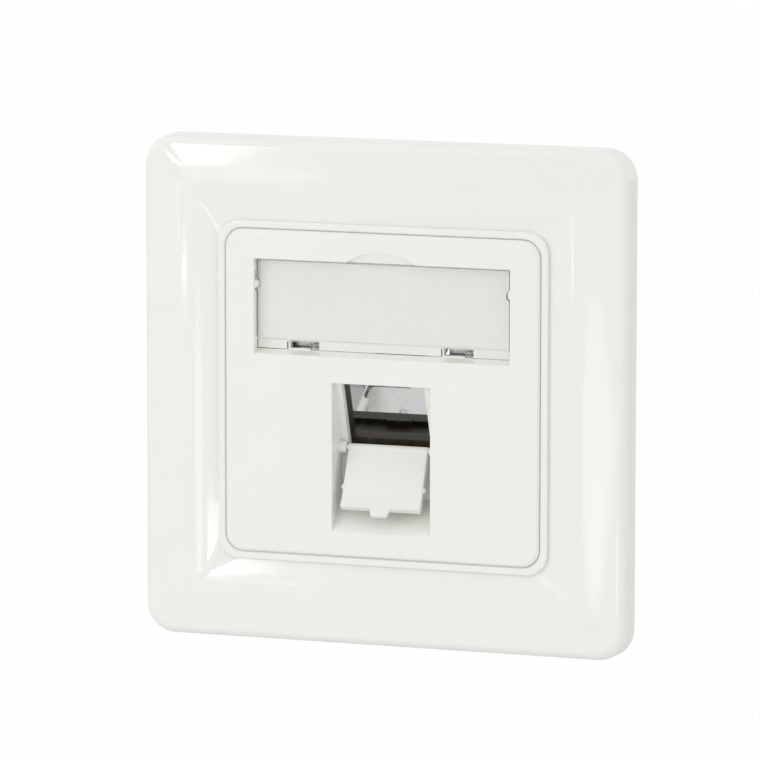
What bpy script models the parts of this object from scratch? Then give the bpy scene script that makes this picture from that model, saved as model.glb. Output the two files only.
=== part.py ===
"""Flush-mounted keystone outlet: cover frame, centre plate with slanted port, label window and ring with claws.

Metres, +Z up. X runs to the right along the wall, Y into the wall and Z up. The origin is the centre of the
outlet on the wall's surface, so the cover stands out towards -Y and the claws reach into the box towards +Y.
"""
import math

import bmesh
import bpy
from mathutils import Matrix, Vector

MM = 0.001
PARTS = "Flush keystone outlet"
CUTTERS = "Cutters"

# Clearances
SEAT_GAP = 0.3 * MM
HINGE_CLEARANCE = 0.15 * MM
CORNER_STEPS = 6
ROUND_STEPS = 24

# Cover frame, seen from the front and in height above the wall
FRAME_WIDTH = 80.0 * MM
FRAME_CORNER = 4.8 * MM
FRAME_DRAFT = 0.15 * MM
FRAME_SIDE_HEIGHT = 3.3 * MM
FRAME_EDGE_RADIUS = 1.6 * MM
CREST_INSET = 8.0 * MM
CREST_HEIGHT = 5.3 * MM
CREST_CORNER = 1.7 * MM
VALLEY_INSET = 10.6 * MM
VALLEY_HEIGHT = 5.0 * MM
VALLEY_CORNER = 0.9 * MM
RIM_WIDTH = 1.1 * MM
RIM_FOOT_HEIGHT = 4.35 * MM
RIM_HEIGHT = 5.15 * MM
RIM_EDGE_RADIUS = 0.25 * MM
FRAME_WALL = 1.7 * MM
FRAME_ROOF_HEIGHT = 3.5 * MM
LEDGE_DEPTH = 1.75 * MM
LEDGE_THICKNESS = 1.0 * MM

# Centre plate
FRAME_BORDER = 14.15 * MM
PLATE_WIDTH = FRAME_WIDTH - 2 * FRAME_BORDER
PLATE_HEIGHT = 5.5 * MM
PLATE_CORNER = 2.9 * MM
PLATE_EDGE_RADIUS = 0.7 * MM
PLATE_GAP = 0.45 * MM
PLATE_FACE = 1.6 * MM
PLATE_SKIRT = 1.4 * MM

# Label recess, clear cover and card
RECESS_MARGIN = 4.75 * MM
RECESS_WIDTH = PLATE_WIDTH - 2 * RECESS_MARGIN
RECESS_TOP = 21.0 * MM
RECESS_FOOT = 6.5 * MM
RECESS_FOOT_SLOPE = 0.5 * MM
RECESS_DEPTH = 2.2 * MM
RECESS_WALL = 1.1 * MM
COVER_GAP = 0.25 * MM
COVER_SETBACK = 0.35 * MM
COVER_THICKNESS = 1.0 * MM
COVER_BAR_HEIGHT = 1.5 * MM
COVER_BAR_STEP = 0.45 * MM
CARD_THICKNESS = 0.3 * MM
NOTCH_RADIUS = 10.65 * MM
NOTCH_RISE = 1.75 * MM
NOTCH_DEPTH = 0.8 * MM
SCALLOP_RISE = 1.3 * MM
BUMP_RADIUS = 0.7 * MM
BUMP_REACH = 0.45 * MM
BUMP_HEIGHT = 16.9 * MM
SNAP_POCKET_DEPTH = 0.55 * MM
SNAP_POCKET_SETBACK = 0.6 * MM
SNAP_POCKET_BELOW = 1.1 * MM
SNAP_POCKET_ABOVE = 2.2 * MM
LATCH_MARGIN = 8.35 * MM
LATCH_CENTRE = RECESS_WIDTH / 2 - LATCH_MARGIN
LATCH_SHIFT = -0.6 * MM
LATCH_WIDTH = 4.9 * MM
LATCH_FOOT = 6.8 * MM
LATCH_TOP = 8.0 * MM
HOOK_WIDTH = 0.7 * MM
HOOK_LENGTH = 2.6 * MM

# Slanted port shaft
SHAFT_WIDTH = 16.2 * MM
SHAFT_TOP = 1.8 * MM
SHAFT_FOOT = -21.7 * MM
SHAFT_WALL = 1.2 * MM
SHAFT_DEPTH = 5.1 * MM
SLOPE_ANGLE = math.radians(20.0)
SLOPE_TOP_DEPTH = 0.9 * MM
SLOPE_WALL = 1.2 * MM
APERTURE_WIDTH = 13.7 * MM
APERTURE_LENGTH = 12.2 * MM
RAMP_ANGLE = math.radians(45.0)

# Dust flap, drawn open as in use
FLAP_WIDTH = 13.2 * MM
FLAP_HINGE_DEPTH = 4.0 * MM
FLAP_HINGE_Z = -8.8 * MM
FLAP_OPEN_ANGLE = math.radians(22.6)
FLAP_LENGTH = 8.2 * MM
FLAP_THICKNESS = 1.1 * MM
FLAP_BARREL_RADIUS = 0.65 * MM
FLAP_PIN_RADIUS = 0.5 * MM
FLAP_LIP_LENGTH = 2.1 * MM
FLAP_LIP_BEND = math.radians(13.0)
FLAP_TAB_WIDTH = 3.4 * MM
FLAP_TAB_END_WIDTH = 2.5 * MM
FLAP_TAB_LENGTH = 1.4 * MM
FLAP_TAB_THICKNESS = 0.7 * MM
FLAP_BUMP_RADIUS = 0.5 * MM
FLAP_BUMP_REACH = 0.4 * MM
FLAP_BUMP_ALONG = 6.4 * MM
EAR_RADIUS = 1.15 * MM

# Module holder behind the port, measured along and across the slope
BAY_WIDTH = 14.9 * MM
BAY_HEIGHT = 16.4 * MM
BAY_DEPTH = 10.1 * MM
BAY_SILL_Z = -7.7 * MM
BAY_BELOW_SILL = 3.1 * MM
HOLDER_WALL = 1.4 * MM
HOLDER_FRONT = 2.4 * MM
SHELF_WIDTH = 22.6 * MM
WINDOW_WIDTH = 13.9 * MM
WINDOW_HEIGHT = 10.4 * MM
CATCH_X = -2.4 * MM
CATCH_WIDTH = 4.2 * MM
CATCH_HEIGHT = 1.1 * MM
CATCH_LENGTH = 0.6 * MM
HOOK_LEDGE_HEIGHT = 0.9 * MM
HOOK_LEDGE_LENGTH = 2.4 * MM
FLANGE_REACH = 14.6 * MM
FLANGE_THICKNESS = 1.4 * MM
FLANGE_FOOT = -6.6 * MM
FLANGE_TOP = 5.2 * MM

# Support ring
RING_MARGIN = 4.5 * MM
RING_WIDTH = FRAME_WIDTH - 2 * RING_MARGIN
RING_CHAMFER = 9.0 * MM
RING_THICKNESS = 1.2 * MM
WINDOW_SIDE_GAP = 0.6 * MM
RING_WINDOW_TOP = 8.9 * MM
RING_WINDOW_FOOT = -19.6 * MM
TRAY_NECK_WIDTH = 19.0 * MM
TRAY_WIDTH = 28.8 * MM
TRAY_THICKNESS = 1.0 * MM
TRAY_BEND_RADIUS = 1.8 * MM
TRAY_SIDE_HEIGHT = 8.0 * MM
TRAY_STANDOFF = 2.2 * MM
TRAY_ANGLE = math.radians(34.0)
TRAY_START = 12.0 * MM
TRAY_LENGTH = 34.0 * MM
TIE_SLOT_LENGTH = 7.0 * MM
TIE_SLOT_WIDTH = 3.0 * MM
TIE_SLOT_X = 8.6 * MM
TIE_SLOT_FROM_TIP = 3.6 * MM
TIE_HOLE_SIZE = 1.5 * MM
TIE_HOLE_PITCH = 5.6 * MM
TIE_HOLES = 5
TIE_HOLE_FROM_TIP = 8.6 * MM
BOX_SCREW_SPACING = 60.0 * MM
BOX_SLOT_LENGTH = 8.0 * MM

# Screws and rivets
BOX_SCREW_HEAD = 2.75 * MM
BOX_SCREW_SHANK = 1.55 * MM
BOX_SCREW_LENGTH = 16.0 * MM
HEAD_HEIGHT = 1.6 * MM
SLOT_WIDTH = 0.9 * MM
SLOT_DEPTH = 0.7 * MM
PLATE_SCREW_MARGIN = 4.1 * MM
PLATE_SCREW_X = RECESS_WIDTH / 2 - PLATE_SCREW_MARGIN
PLATE_SCREW_Z = 14.6 * MM
PLATE_SCREW_HEAD = 2.5 * MM
PLATE_SCREW_SHANK = 1.25 * MM
PLATE_SCREW_LENGTH = 5.0 * MM
RIVET_X = 12.3 * MM
RIVET_HEAD = 1.7 * MM
RIVET_SHANK = 1.1 * MM
RIVET_HEAD_HEIGHT = 0.9 * MM
RIVET_SPACING = 7.4 * MM

# Claws, drawn by a screw each
CLAW_SCREW_X = 21.0 * MM
CLAW_Z = -6.3 * MM
CLAW_WIDTH = 9.0 * MM
CLAW_THICKNESS = 1.2 * MM
CLAW_PIVOT_X = 16.0 * MM
CLAW_REST_ANGLE = math.radians(25.0)
CLAW_ARM = 10.5 * MM
CLAW_LEG = 18.0 * MM
CLAW_LEG_ANGLE = math.radians(70.0)
CLAW_TAIL = 1.9 * MM
CLAW_TOOTH_DEPTH = 2.4 * MM
CLAW_TEETH = 3
CLAW_SCREW_HEAD = 2.9 * MM
CLAW_SCREW_SHANK = 1.9 * MM
CLAW_SCREW_LENGTH = 17.0 * MM
CLAW_NUT_WIDTH = 5.6 * MM
CLAW_NUT_HEIGHT = 7.0 * MM
CLAW_NUT_THICKNESS = 2.4 * MM

# Colours, roughness and metallic value of each finish
WHITE_PLASTIC = ((0.86, 0.86, 0.82, 1.0), 0.22, 0.0)
FLAP_PLASTIC = ((0.80, 0.80, 0.76, 1.0), 0.35, 0.0)
CLEAR_PLASTIC = ((0.95, 0.96, 0.96, 1.0), 0.05, 0.0)
CARD_PAPER = ((0.78, 0.79, 0.76, 1.0), 0.8, 0.0)
ZINC_STEEL = ((0.62, 0.63, 0.64, 1.0), 0.3, 1.0)
DARK_CAST = ((0.10, 0.09, 0.07, 1.0), 0.5, 0.2)
SCREW_STEEL = ((0.70, 0.69, 0.66, 1.0), 0.28, 1.0)


def clear_scene():
    for thing in list(bpy.data.objects):
        bpy.data.objects.remove(thing, do_unlink=True)


def make_collection(name):
    found = bpy.data.collections.get(name)
    if found is None:
        found = bpy.data.collections.new(name)
        bpy.context.scene.collection.children.link(found)
    return found


def make_material(name, finish):
    colour, roughness, metallic = finish
    material = bpy.data.materials.new(name)
    material.use_nodes = True
    shader = material.node_tree.nodes["Principled BSDF"]
    shader.inputs["Base Color"].default_value = colour
    shader.inputs["Roughness"].default_value = roughness
    shader.inputs["Metallic"].default_value = metallic
    material.diffuse_color = colour
    return material


def finish_part(part, finish):
    """Gives the piece its own material and smooth shading with crisp edges."""
    part.data.materials.clear()
    part.data.materials.append(make_material(part.name, finish))
    part.data.shade_smooth()
    part.data.set_sharp_from_angle(angle=math.radians(35.0))
    return part


def object_from_bmesh(name, mesh_data, collection_name):
    bmesh.ops.recalc_face_normals(mesh_data, faces=mesh_data.faces[:])
    mesh = bpy.data.meshes.new(name)
    mesh_data.to_mesh(mesh)
    mesh_data.free()
    thing = bpy.data.objects.new(name, mesh)
    make_collection(collection_name).objects.link(thing)
    return thing


def add_cutter(thing):
    """Moves a helper solid to the cutters' collection and hides it from renders."""
    for holder in list(thing.users_collection):
        holder.objects.unlink(thing)
    make_collection(CUTTERS).objects.link(thing)
    thing.hide_render = True
    thing.display_type = "WIRE"
    return thing


def combine(part, helper, operation):
    """Adds or removes a helper solid with an exact Boolean."""
    add_cutter(helper)
    change = part.modifiers.new(operation.title() + " " + helper.name, "BOOLEAN")
    change.operation = operation
    change.solver = "EXACT"
    change.object = helper


def cut(part, helper):
    combine(part, helper, "DIFFERENCE")


def join(part, helper):
    combine(part, helper, "UNION")


def arc_points(centre, radius, start, end, steps):
    """Points on an arc, with both ends, from the start angle to the end angle in degrees."""
    points = []
    for index in range(steps + 1):
        angle = math.radians(start + (end - start) * index / steps)
        points.append((centre[0] + radius * math.cos(angle), centre[1] + radius * math.sin(angle)))
    return points


def rounded_rectangle(width, height, radius, centre=(0.0, 0.0), steps=CORNER_STEPS):
    """Outline of a rectangle with round corners, counter-clockwise from the right side."""
    across = width / 2 - radius
    up = height / 2 - radius
    points = []
    for index, (side, rise) in enumerate(((1, 1), (-1, 1), (-1, -1), (1, -1))):
        corner = (centre[0] + side * across, centre[1] + rise * up)
        points += arc_points(corner, radius, 90 * index, 90 * index + 90, steps)
    return points


def slot_outline(width, height, centre=(0.0, 0.0), steps=CORNER_STEPS):
    """Outline with two half-round ends across its shorter size."""
    return rounded_rectangle(width, height, min(width, height) / 2 * 0.999, centre, steps)


AXIS_FRAMES = {
    "X": Matrix(((0, 0, 1, 0), (1, 0, 0, 0), (0, 1, 0, 0), (0, 0, 0, 1))),
    "Y": Matrix(((1, 0, 0, 0), (0, 0, -1, 0), (0, 1, 0, 0), (0, 0, 0, 1))),
    "Z": Matrix.Identity(4),
}


def prism(name, outline, low, high, axis, place=None):
    """A flat outline given thickness from low to high along an axis.

    The outline's two numbers are (y, z) along X, (x, z) along Y and (x, y) along Z.
    """
    curve = bpy.data.curves.new(name, "CURVE")
    curve.dimensions = "2D"
    curve.fill_mode = "BOTH"
    curve.extrude = (high - low) / 2
    spline = curve.splines.new("POLY")
    spline.points.add(len(outline) - 1)
    for point, (first, second) in zip(spline.points, outline):
        point.co = (first, second, 0.0, 1.0)
    spline.use_cyclic_u = True
    drawn = bpy.data.objects.new(name + " outline", curve)
    make_collection(PARTS).objects.link(drawn)
    bpy.context.view_layer.update()
    evaluated = drawn.evaluated_get(bpy.context.evaluated_depsgraph_get())
    mesh = bpy.data.meshes.new_from_object(evaluated)
    bpy.data.objects.remove(drawn, do_unlink=True)
    bpy.data.curves.remove(curve)
    solid = bmesh.new()
    solid.from_mesh(mesh)
    bpy.data.meshes.remove(mesh)
    bmesh.ops.remove_doubles(solid, verts=solid.verts[:], dist=1e-6)
    middle = (low + high) / 2
    along = {"X": (middle, 0, 0), "Y": (0, middle, 0), "Z": (0, 0, middle)}[axis]
    move = Matrix.Translation(along) @ AXIS_FRAMES[axis]
    if place is not None:
        move = place @ move
    bmesh.ops.transform(solid, matrix=move, verts=solid.verts[:])
    return object_from_bmesh(name, solid, PARTS)


def block(name, low, high):
    """A box between two corners, started from the cube primitive."""
    solid = bmesh.new()
    bmesh.ops.create_cube(solid, size=1.0)
    size = [high[index] - low[index] for index in range(3)]
    middle = [(high[index] + low[index]) / 2 for index in range(3)]
    bmesh.ops.scale(solid, vec=size, verts=solid.verts[:])
    bmesh.ops.translate(solid, vec=middle, verts=solid.verts[:])
    return object_from_bmesh(name, solid, PARTS)


def rod(name, radius, low, high, axis, centre, steps=ROUND_STEPS, far_radius=None):
    """A cylinder or cone along an axis. The centre's two numbers are given as for a prism."""
    far = radius if far_radius is None else far_radius
    solid = bmesh.new()
    bmesh.ops.create_cone(solid, cap_ends=True, segments=steps, radius1=radius, radius2=far, depth=high - low)
    middle = (low + high) / 2
    turn = {"X": Matrix.Rotation(math.pi / 2, 4, "Y"), "Y": Matrix.Rotation(-math.pi / 2, 4, "X"),
            "Z": Matrix.Identity(4)}[axis]
    at = {"X": (middle, centre[0], centre[1]), "Y": (centre[0], middle, centre[1]),
          "Z": (centre[0], centre[1], middle)}[axis]
    bmesh.ops.transform(solid, matrix=Matrix.Translation(at) @ turn, verts=solid.verts[:])
    return object_from_bmesh(name, solid, PARTS)


def turned(name, profile, place_x, place_z, steps=ROUND_STEPS):
    """A turned piece whose axis points out of the wall: profile pairs are (radius, height above the wall).

    The origin of the object stays on the axis, at the wall's surface.
    """
    mesh = bpy.data.meshes.new(name)
    points = [(radius, 0.0, height) for radius, height in profile]
    edges = [(index, index + 1) for index in range(len(points) - 1)]
    mesh.from_pydata(points, edges, [])
    thing = bpy.data.objects.new(name, mesh)
    make_collection(PARTS).objects.link(thing)
    thing.rotation_euler = (math.pi / 2, 0.0, 0.0)
    thing.location = (place_x, 0.0, place_z)
    screw = thing.modifiers.new("Turn", "SCREW")
    screw.axis = "Z"
    screw.steps = steps
    screw.render_steps = steps
    screw.use_merge_vertices = True
    screw.merge_threshold = 0.00001
    return thing


def ring_outline(half, corner, height, steps=CORNER_STEPS):
    """One level of a lofted square: its corners' arcs, at a height above the wall."""
    flat = rounded_rectangle(2 * half, 2 * half, corner, steps=steps)
    return [Vector((across, -height, up)) for across, up in flat]


def loft(name, levels, closed):
    """A skin over square levels that all have the same count of points, as a tube or with both ends filled."""
    solid = bmesh.new()
    loops = [[solid.verts.new(point) for point in level] for level in levels]
    count = len(loops[0])
    pairs = list(zip(loops, loops[1:]))
    if closed:
        pairs.append((loops[-1], loops[0]))
    for lower, upper in pairs:
        for index in range(count):
            after = (index + 1) % count
            solid.faces.new((lower[index], lower[after], upper[after], upper[index]))
    if not closed:
        solid.faces.new(loops[0])
        solid.faces.new(loops[-1])
    return object_from_bmesh(name, solid, PARTS)


def behind_front(depth):
    """The Y of a point so far behind the plate's front face."""
    return -PLATE_HEIGHT + depth


def on_slope(down, inward):
    """(y, z) of a point measured down the slanted port face from its top edge, and into the wall from it."""
    y = behind_front(SLOPE_TOP_DEPTH) + down * math.sin(SLOPE_ANGLE) + inward * math.cos(SLOPE_ANGLE)
    z = SHAFT_TOP - down * math.cos(SLOPE_ANGLE) + inward * math.sin(SLOPE_ANGLE)
    return (y, z)


def down_at_z(z, inward):
    """How far down the slope a line at this inward distance crosses a height."""
    return (SHAFT_TOP + inward * math.sin(SLOPE_ANGLE) - z) / math.cos(SLOPE_ANGLE)


def down_at_y(y, inward):
    """How far down the slope a line at this inward distance reaches a depth."""
    return (y - behind_front(SLOPE_TOP_DEPTH) - inward * math.cos(SLOPE_ANGLE)) / math.sin(SLOPE_ANGLE)


def build_outer_frame():
    half = FRAME_WIDTH / 2
    opening = PLATE_WIDTH / 2 + PLATE_GAP
    rim_outer = opening + RIM_WIDTH + RIM_EDGE_RADIUS
    shoulder = half - FRAME_DRAFT - FRAME_EDGE_RADIUS
    corner_loss = FRAME_CORNER - FRAME_DRAFT
    levels = [(half, FRAME_CORNER, 0.0)]
    for across, height in arc_points((shoulder, FRAME_SIDE_HEIGHT), FRAME_EDGE_RADIUS, 0, 78, 5):
        levels.append((across, corner_loss - (half - FRAME_DRAFT - across) * 0.8, height))
    edge_half, edge_corner, edge_height = levels[-1]
    crest_half = half - CREST_INSET
    strip_steps = 6
    for index in range(1, strip_steps + 1):
        share = index / strip_steps
        rise = math.sin(share * math.pi / 2)
        levels.append((edge_half + (crest_half - edge_half) * share,
                       edge_corner + (CREST_CORNER - edge_corner) * share,
                       edge_height + (CREST_HEIGHT - edge_height) * rise))
    rim_corner = PLATE_CORNER + PLATE_GAP + RIM_WIDTH + RIM_EDGE_RADIUS
    levels.append((half - VALLEY_INSET, VALLEY_CORNER, VALLEY_HEIGHT))
    levels.append((rim_outer + (half - VALLEY_INSET - rim_outer) * 0.35, rim_corner * 0.6,
                   RIM_FOOT_HEIGHT + (VALLEY_HEIGHT - RIM_FOOT_HEIGHT) * 0.35))
    levels.append((rim_outer, rim_corner, RIM_FOOT_HEIGHT))
    top = RIM_HEIGHT - RIM_EDGE_RADIUS
    for across, height in arc_points((rim_outer - RIM_EDGE_RADIUS, top), RIM_EDGE_RADIUS, 0, 90, 3):
        levels.append((across, rim_corner - (rim_outer - across), height))
    for across, height in arc_points((opening + RIM_EDGE_RADIUS, top), RIM_EDGE_RADIUS, 90, 180, 3):
        levels.append((across, rim_corner - (rim_outer - across), height))
    ledge_foot = RING_THICKNESS + SEAT_GAP
    ledge_top = ledge_foot + LEDGE_THICKNESS
    inner_corner = PLATE_CORNER + PLATE_GAP
    levels.append((opening, inner_corner, ledge_top))
    levels.append((opening - LEDGE_DEPTH, inner_corner - LEDGE_DEPTH, ledge_top))
    levels.append((opening - LEDGE_DEPTH, inner_corner - LEDGE_DEPTH, ledge_foot))
    well = rim_outer + FRAME_WALL - RIM_WIDTH
    levels.append((well, inner_corner, ledge_foot))
    levels.append((well + FRAME_WALL / 2, inner_corner, FRAME_ROOF_HEIGHT))
    cavity = half - FRAME_WALL
    cavity_corner = FRAME_CORNER - FRAME_WALL
    levels.append((cavity - FRAME_WALL / 2, cavity_corner, FRAME_ROOF_HEIGHT))
    levels.append((cavity, cavity_corner, FRAME_ROOF_HEIGHT - FRAME_WALL / 2))
    levels.append((cavity, cavity_corner, 0.0))
    frame = loft("outer_frame", [ring_outline(*level) for level in levels], True)
    head_room = BOX_SCREW_HEAD + SEAT_GAP
    inner = BOX_SCREW_SPACING / 2 - head_room
    for turn in range(4):
        relief = block("screw head relief", (inner, -(head_seat() + HEAD_HEIGHT + SEAT_GAP), -head_room),
                       (inner + head_room, MM, head_room))
        relief.data.transform(Matrix.Rotation(turn * math.pi / 2, 4, "Y"))
        cut(frame, relief)
    return frame


def plate_skirt_foot():
    """Height above the wall at which the plate's skirt ends, on the frame's ledge."""
    return RING_THICKNESS + SEAT_GAP + LEDGE_THICKNESS + SEAT_GAP


def build_plate_shell():
    half = PLATE_WIDTH / 2
    centre = half - PLATE_EDGE_RADIUS
    levels = []
    for across, height in arc_points((centre, PLATE_HEIGHT - PLATE_EDGE_RADIUS), PLATE_EDGE_RADIUS, 90, 0, 5):
        levels.append((across, PLATE_CORNER - (half - across), height))
    inner = half - PLATE_SKIRT
    inner_corner = PLATE_CORNER - PLATE_SKIRT
    levels.append((half, PLATE_CORNER, plate_skirt_foot()))
    levels.append((inner, inner_corner, plate_skirt_foot()))
    levels.append((inner, inner_corner, PLATE_HEIGHT - PLATE_FACE))
    return loft("centre_plate", [ring_outline(*level) for level in levels], False)


def shaft_outline(grow):
    """Side view of the port shaft's hollow, or of the material round it when grown by the wall."""
    slope_wall = SLOPE_WALL if grow else 0.0
    back = behind_front(SHAFT_DEPTH + (SHAFT_WALL - SEAT_GAP if grow else 0.0))
    front = behind_front(PLATE_FACE * 0.6 if grow else -1.0 * MM)
    ramp_shift = SHAFT_WALL / math.cos(RAMP_ANGLE) if grow else 0.0
    steep = math.tan(RAMP_ANGLE)
    ramp_z = SHAFT_FOOT - ramp_shift
    slope_end = on_slope(down_at_y(back, slope_wall), slope_wall)
    top = SHAFT_TOP + (SHAFT_WALL if grow else 0.0)
    slope_start = on_slope(down_at_z(SHAFT_TOP, slope_wall), slope_wall)
    shelf = behind_front(PLATE_FACE) if grow else slope_start[0]
    return [(front, top), (shelf, top), slope_start, slope_end,
            (back, ramp_z + steep * (back - behind_front(0.0))),
            (front, ramp_z + steep * (front - behind_front(0.0)))]


def add_recess(plate):
    """Label recess with its backing, sloped foot, snap bumps and slot, latch slots and finger notch."""
    half = RECESS_WIDTH / 2
    floor = behind_front(RECESS_DEPTH)
    join(plate, block("recess backing", (-half - RECESS_WALL, behind_front(PLATE_FACE * 0.6),
                                         RECESS_FOOT - RECESS_WALL),
                      (half + RECESS_WALL, floor + RECESS_WALL, RECESS_TOP + RECESS_WALL)))
    front = behind_front(-1.0 * MM)
    drop = RECESS_FOOT_SLOPE * (1.0 + 1.0 * MM / RECESS_DEPTH)
    cut(plate, prism("recess", [(front, RECESS_FOOT - drop), (floor, RECESS_FOOT),
                                (floor, RECESS_TOP), (front, RECESS_TOP)], -half, half, "X"))
    notch_centre = RECESS_TOP + NOTCH_RISE - NOTCH_RADIUS
    spread = math.degrees(math.acos((RECESS_TOP - MM - notch_centre) / NOTCH_RADIUS))
    cut(plate, prism("finger notch", arc_points((0.0, notch_centre), NOTCH_RADIUS, 90 - spread, 90 + spread, 24),
                     front, behind_front(NOTCH_DEPTH), "Y"))
    for side in (-1, 1):
        low, high = sorted((side * (half - SNAP_POCKET_DEPTH), side * (half + SNAP_POCKET_DEPTH)))
        cut(plate, block("snap pocket", (low, behind_front(SNAP_POCKET_SETBACK), BUMP_HEIGHT - SNAP_POCKET_BELOW),
                         (high, floor, BUMP_HEIGHT + SNAP_POCKET_ABOVE)))
        edge = side * (half + BUMP_RADIUS - BUMP_REACH)
        join(plate, rod("snap bump", BUMP_RADIUS, behind_front(COVER_SETBACK), floor + RECESS_WALL / 2, "Y",
                        (edge, BUMP_HEIGHT), steps=16))
        latch = side * LATCH_CENTRE + LATCH_SHIFT
        cut(plate, block("latch slot", (latch - LATCH_WIDTH / 2, floor - RECESS_WALL / 2, LATCH_FOOT),
                         (latch + LATCH_WIDTH / 2, floor + 2 * RECESS_WALL, LATCH_TOP)))
        cut(plate, rod("plate screw hole", PLATE_SCREW_SHANK + SEAT_GAP, floor - RECESS_WALL / 2,
                       floor + 2 * RECESS_WALL, "Y", (side * PLATE_SCREW_X, PLATE_SCREW_Z)))
        sink = PLATE_SCREW_HEAD - PLATE_SCREW_SHANK
        cut(plate, rod("plate screw sink", PLATE_SCREW_HEAD + SEAT_GAP + 0.5 * MM, floor - 0.5 * MM,
                       floor + sink, "Y", (side * PLATE_SCREW_X, PLATE_SCREW_Z),
                       far_radius=PLATE_SCREW_SHANK + SEAT_GAP))


def add_shaft(plate):
    """Slanted shaft with its aperture, floor ramp and the two ears that carry the flap."""
    half = SHAFT_WIDTH / 2
    join(plate, prism("shaft walls", shaft_outline(True), -half - SHAFT_WALL, half + SHAFT_WALL, "X"))
    cut(plate, prism("shaft hollow", shaft_outline(False), -half, half, "X"))
    hinge = (behind_front(FLAP_HINGE_DEPTH), FLAP_HINGE_Z)
    ear = half - FLAP_WIDTH / 2 - SEAT_GAP
    for side in (-1, 1):
        low, high = sorted((side * (half - ear), side * (half + SHAFT_WALL / 2)))
        join(plate, rod("flap ear", EAR_RADIUS, low, high, "X", hinge, steps=20))
    deep = SLOPE_WALL + SHAFT_WALL
    foot = APERTURE_LENGTH
    top = SHAFT_TOP
    cut(plate, prism("aperture", [on_slope(0.0, 0.0), (on_slope(0.0, deep)[0], top), on_slope(foot, deep),
                                  on_slope(foot, -EAR_RADIUS), (on_slope(0.0, 0.0)[0], top - 1.0 * MM)],
                     -APERTURE_WIDTH / 2, APERTURE_WIDTH / 2, "X"))
    pin_reach = half - SHAFT_WALL / 4
    cut(plate, rod("flap pin bore", FLAP_PIN_RADIUS + HINGE_CLEARANCE, -pin_reach, pin_reach, "X", hinge))


def build_centre_plate():
    plate = build_plate_shell()
    add_recess(plate)
    add_shaft(plate)
    return plate


def cover_outline():
    """Front view of the clear cover: square pane with a scallop in its top edge."""
    half = RECESS_WIDTH / 2 - COVER_GAP
    top = RECESS_TOP - COVER_GAP
    foot = RECESS_FOOT + COVER_GAP
    notch = BUMP_RADIUS + COVER_GAP
    inset = BUMP_REACH
    right = [(half, foot), (half, BUMP_HEIGHT - notch), (half - inset, BUMP_HEIGHT - notch * 0.5),
             (half - inset, BUMP_HEIGHT + notch * 0.5), (half, BUMP_HEIGHT + notch), (half, top)]
    left = [(-across, up) for across, up in reversed(right)]
    return right + left


def build_label_cover():
    front = behind_front(COVER_SETBACK)
    back = front + COVER_THICKNESS
    cover = prism("label_cover", cover_outline(), front, back, "Y")
    half = RECESS_WIDTH / 2
    bar_top = RECESS_FOOT + COVER_GAP + COVER_BAR_HEIGHT
    cut(cover, block("cover step", (-half, front - COVER_BAR_STEP, RECESS_FOOT - 1.0 * MM),
                     (half, front + COVER_BAR_STEP, bar_top)))
    scallop_centre = RECESS_TOP - SCALLOP_RISE + NOTCH_RADIUS
    cut(cover, rod("cover scallop", NOTCH_RADIUS, front - COVER_BAR_STEP, front + COVER_BAR_STEP, "Y",
                   (0.0, scallop_centre), steps=64))
    for side in (-1, 1):
        middle = side * LATCH_CENTRE + LATCH_SHIFT
        hook = middle + LATCH_WIDTH / 2 - SEAT_GAP - HOOK_WIDTH
        cut(cover, block("latch notch", (middle - LATCH_WIDTH / 2, front - COVER_BAR_STEP, LATCH_FOOT - SEAT_GAP),
                         (hook, back + COVER_BAR_STEP, LATCH_TOP)))
        join(cover, block("cover hook", (hook, front + COVER_BAR_STEP * 1.5, LATCH_FOOT + SEAT_GAP),
                          (hook + HOOK_WIDTH, back + HOOK_LENGTH, LATCH_TOP - SEAT_GAP)))
    return cover


def build_label_card():
    back = behind_front(RECESS_DEPTH) - SEAT_GAP / 3
    half = RECESS_WIDTH / 2 - 2 * COVER_GAP
    foot = LATCH_TOP + SEAT_GAP
    return block("label_card", (-half, back - CARD_THICKNESS, foot), (half, back, RECESS_TOP - COVER_GAP))


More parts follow.
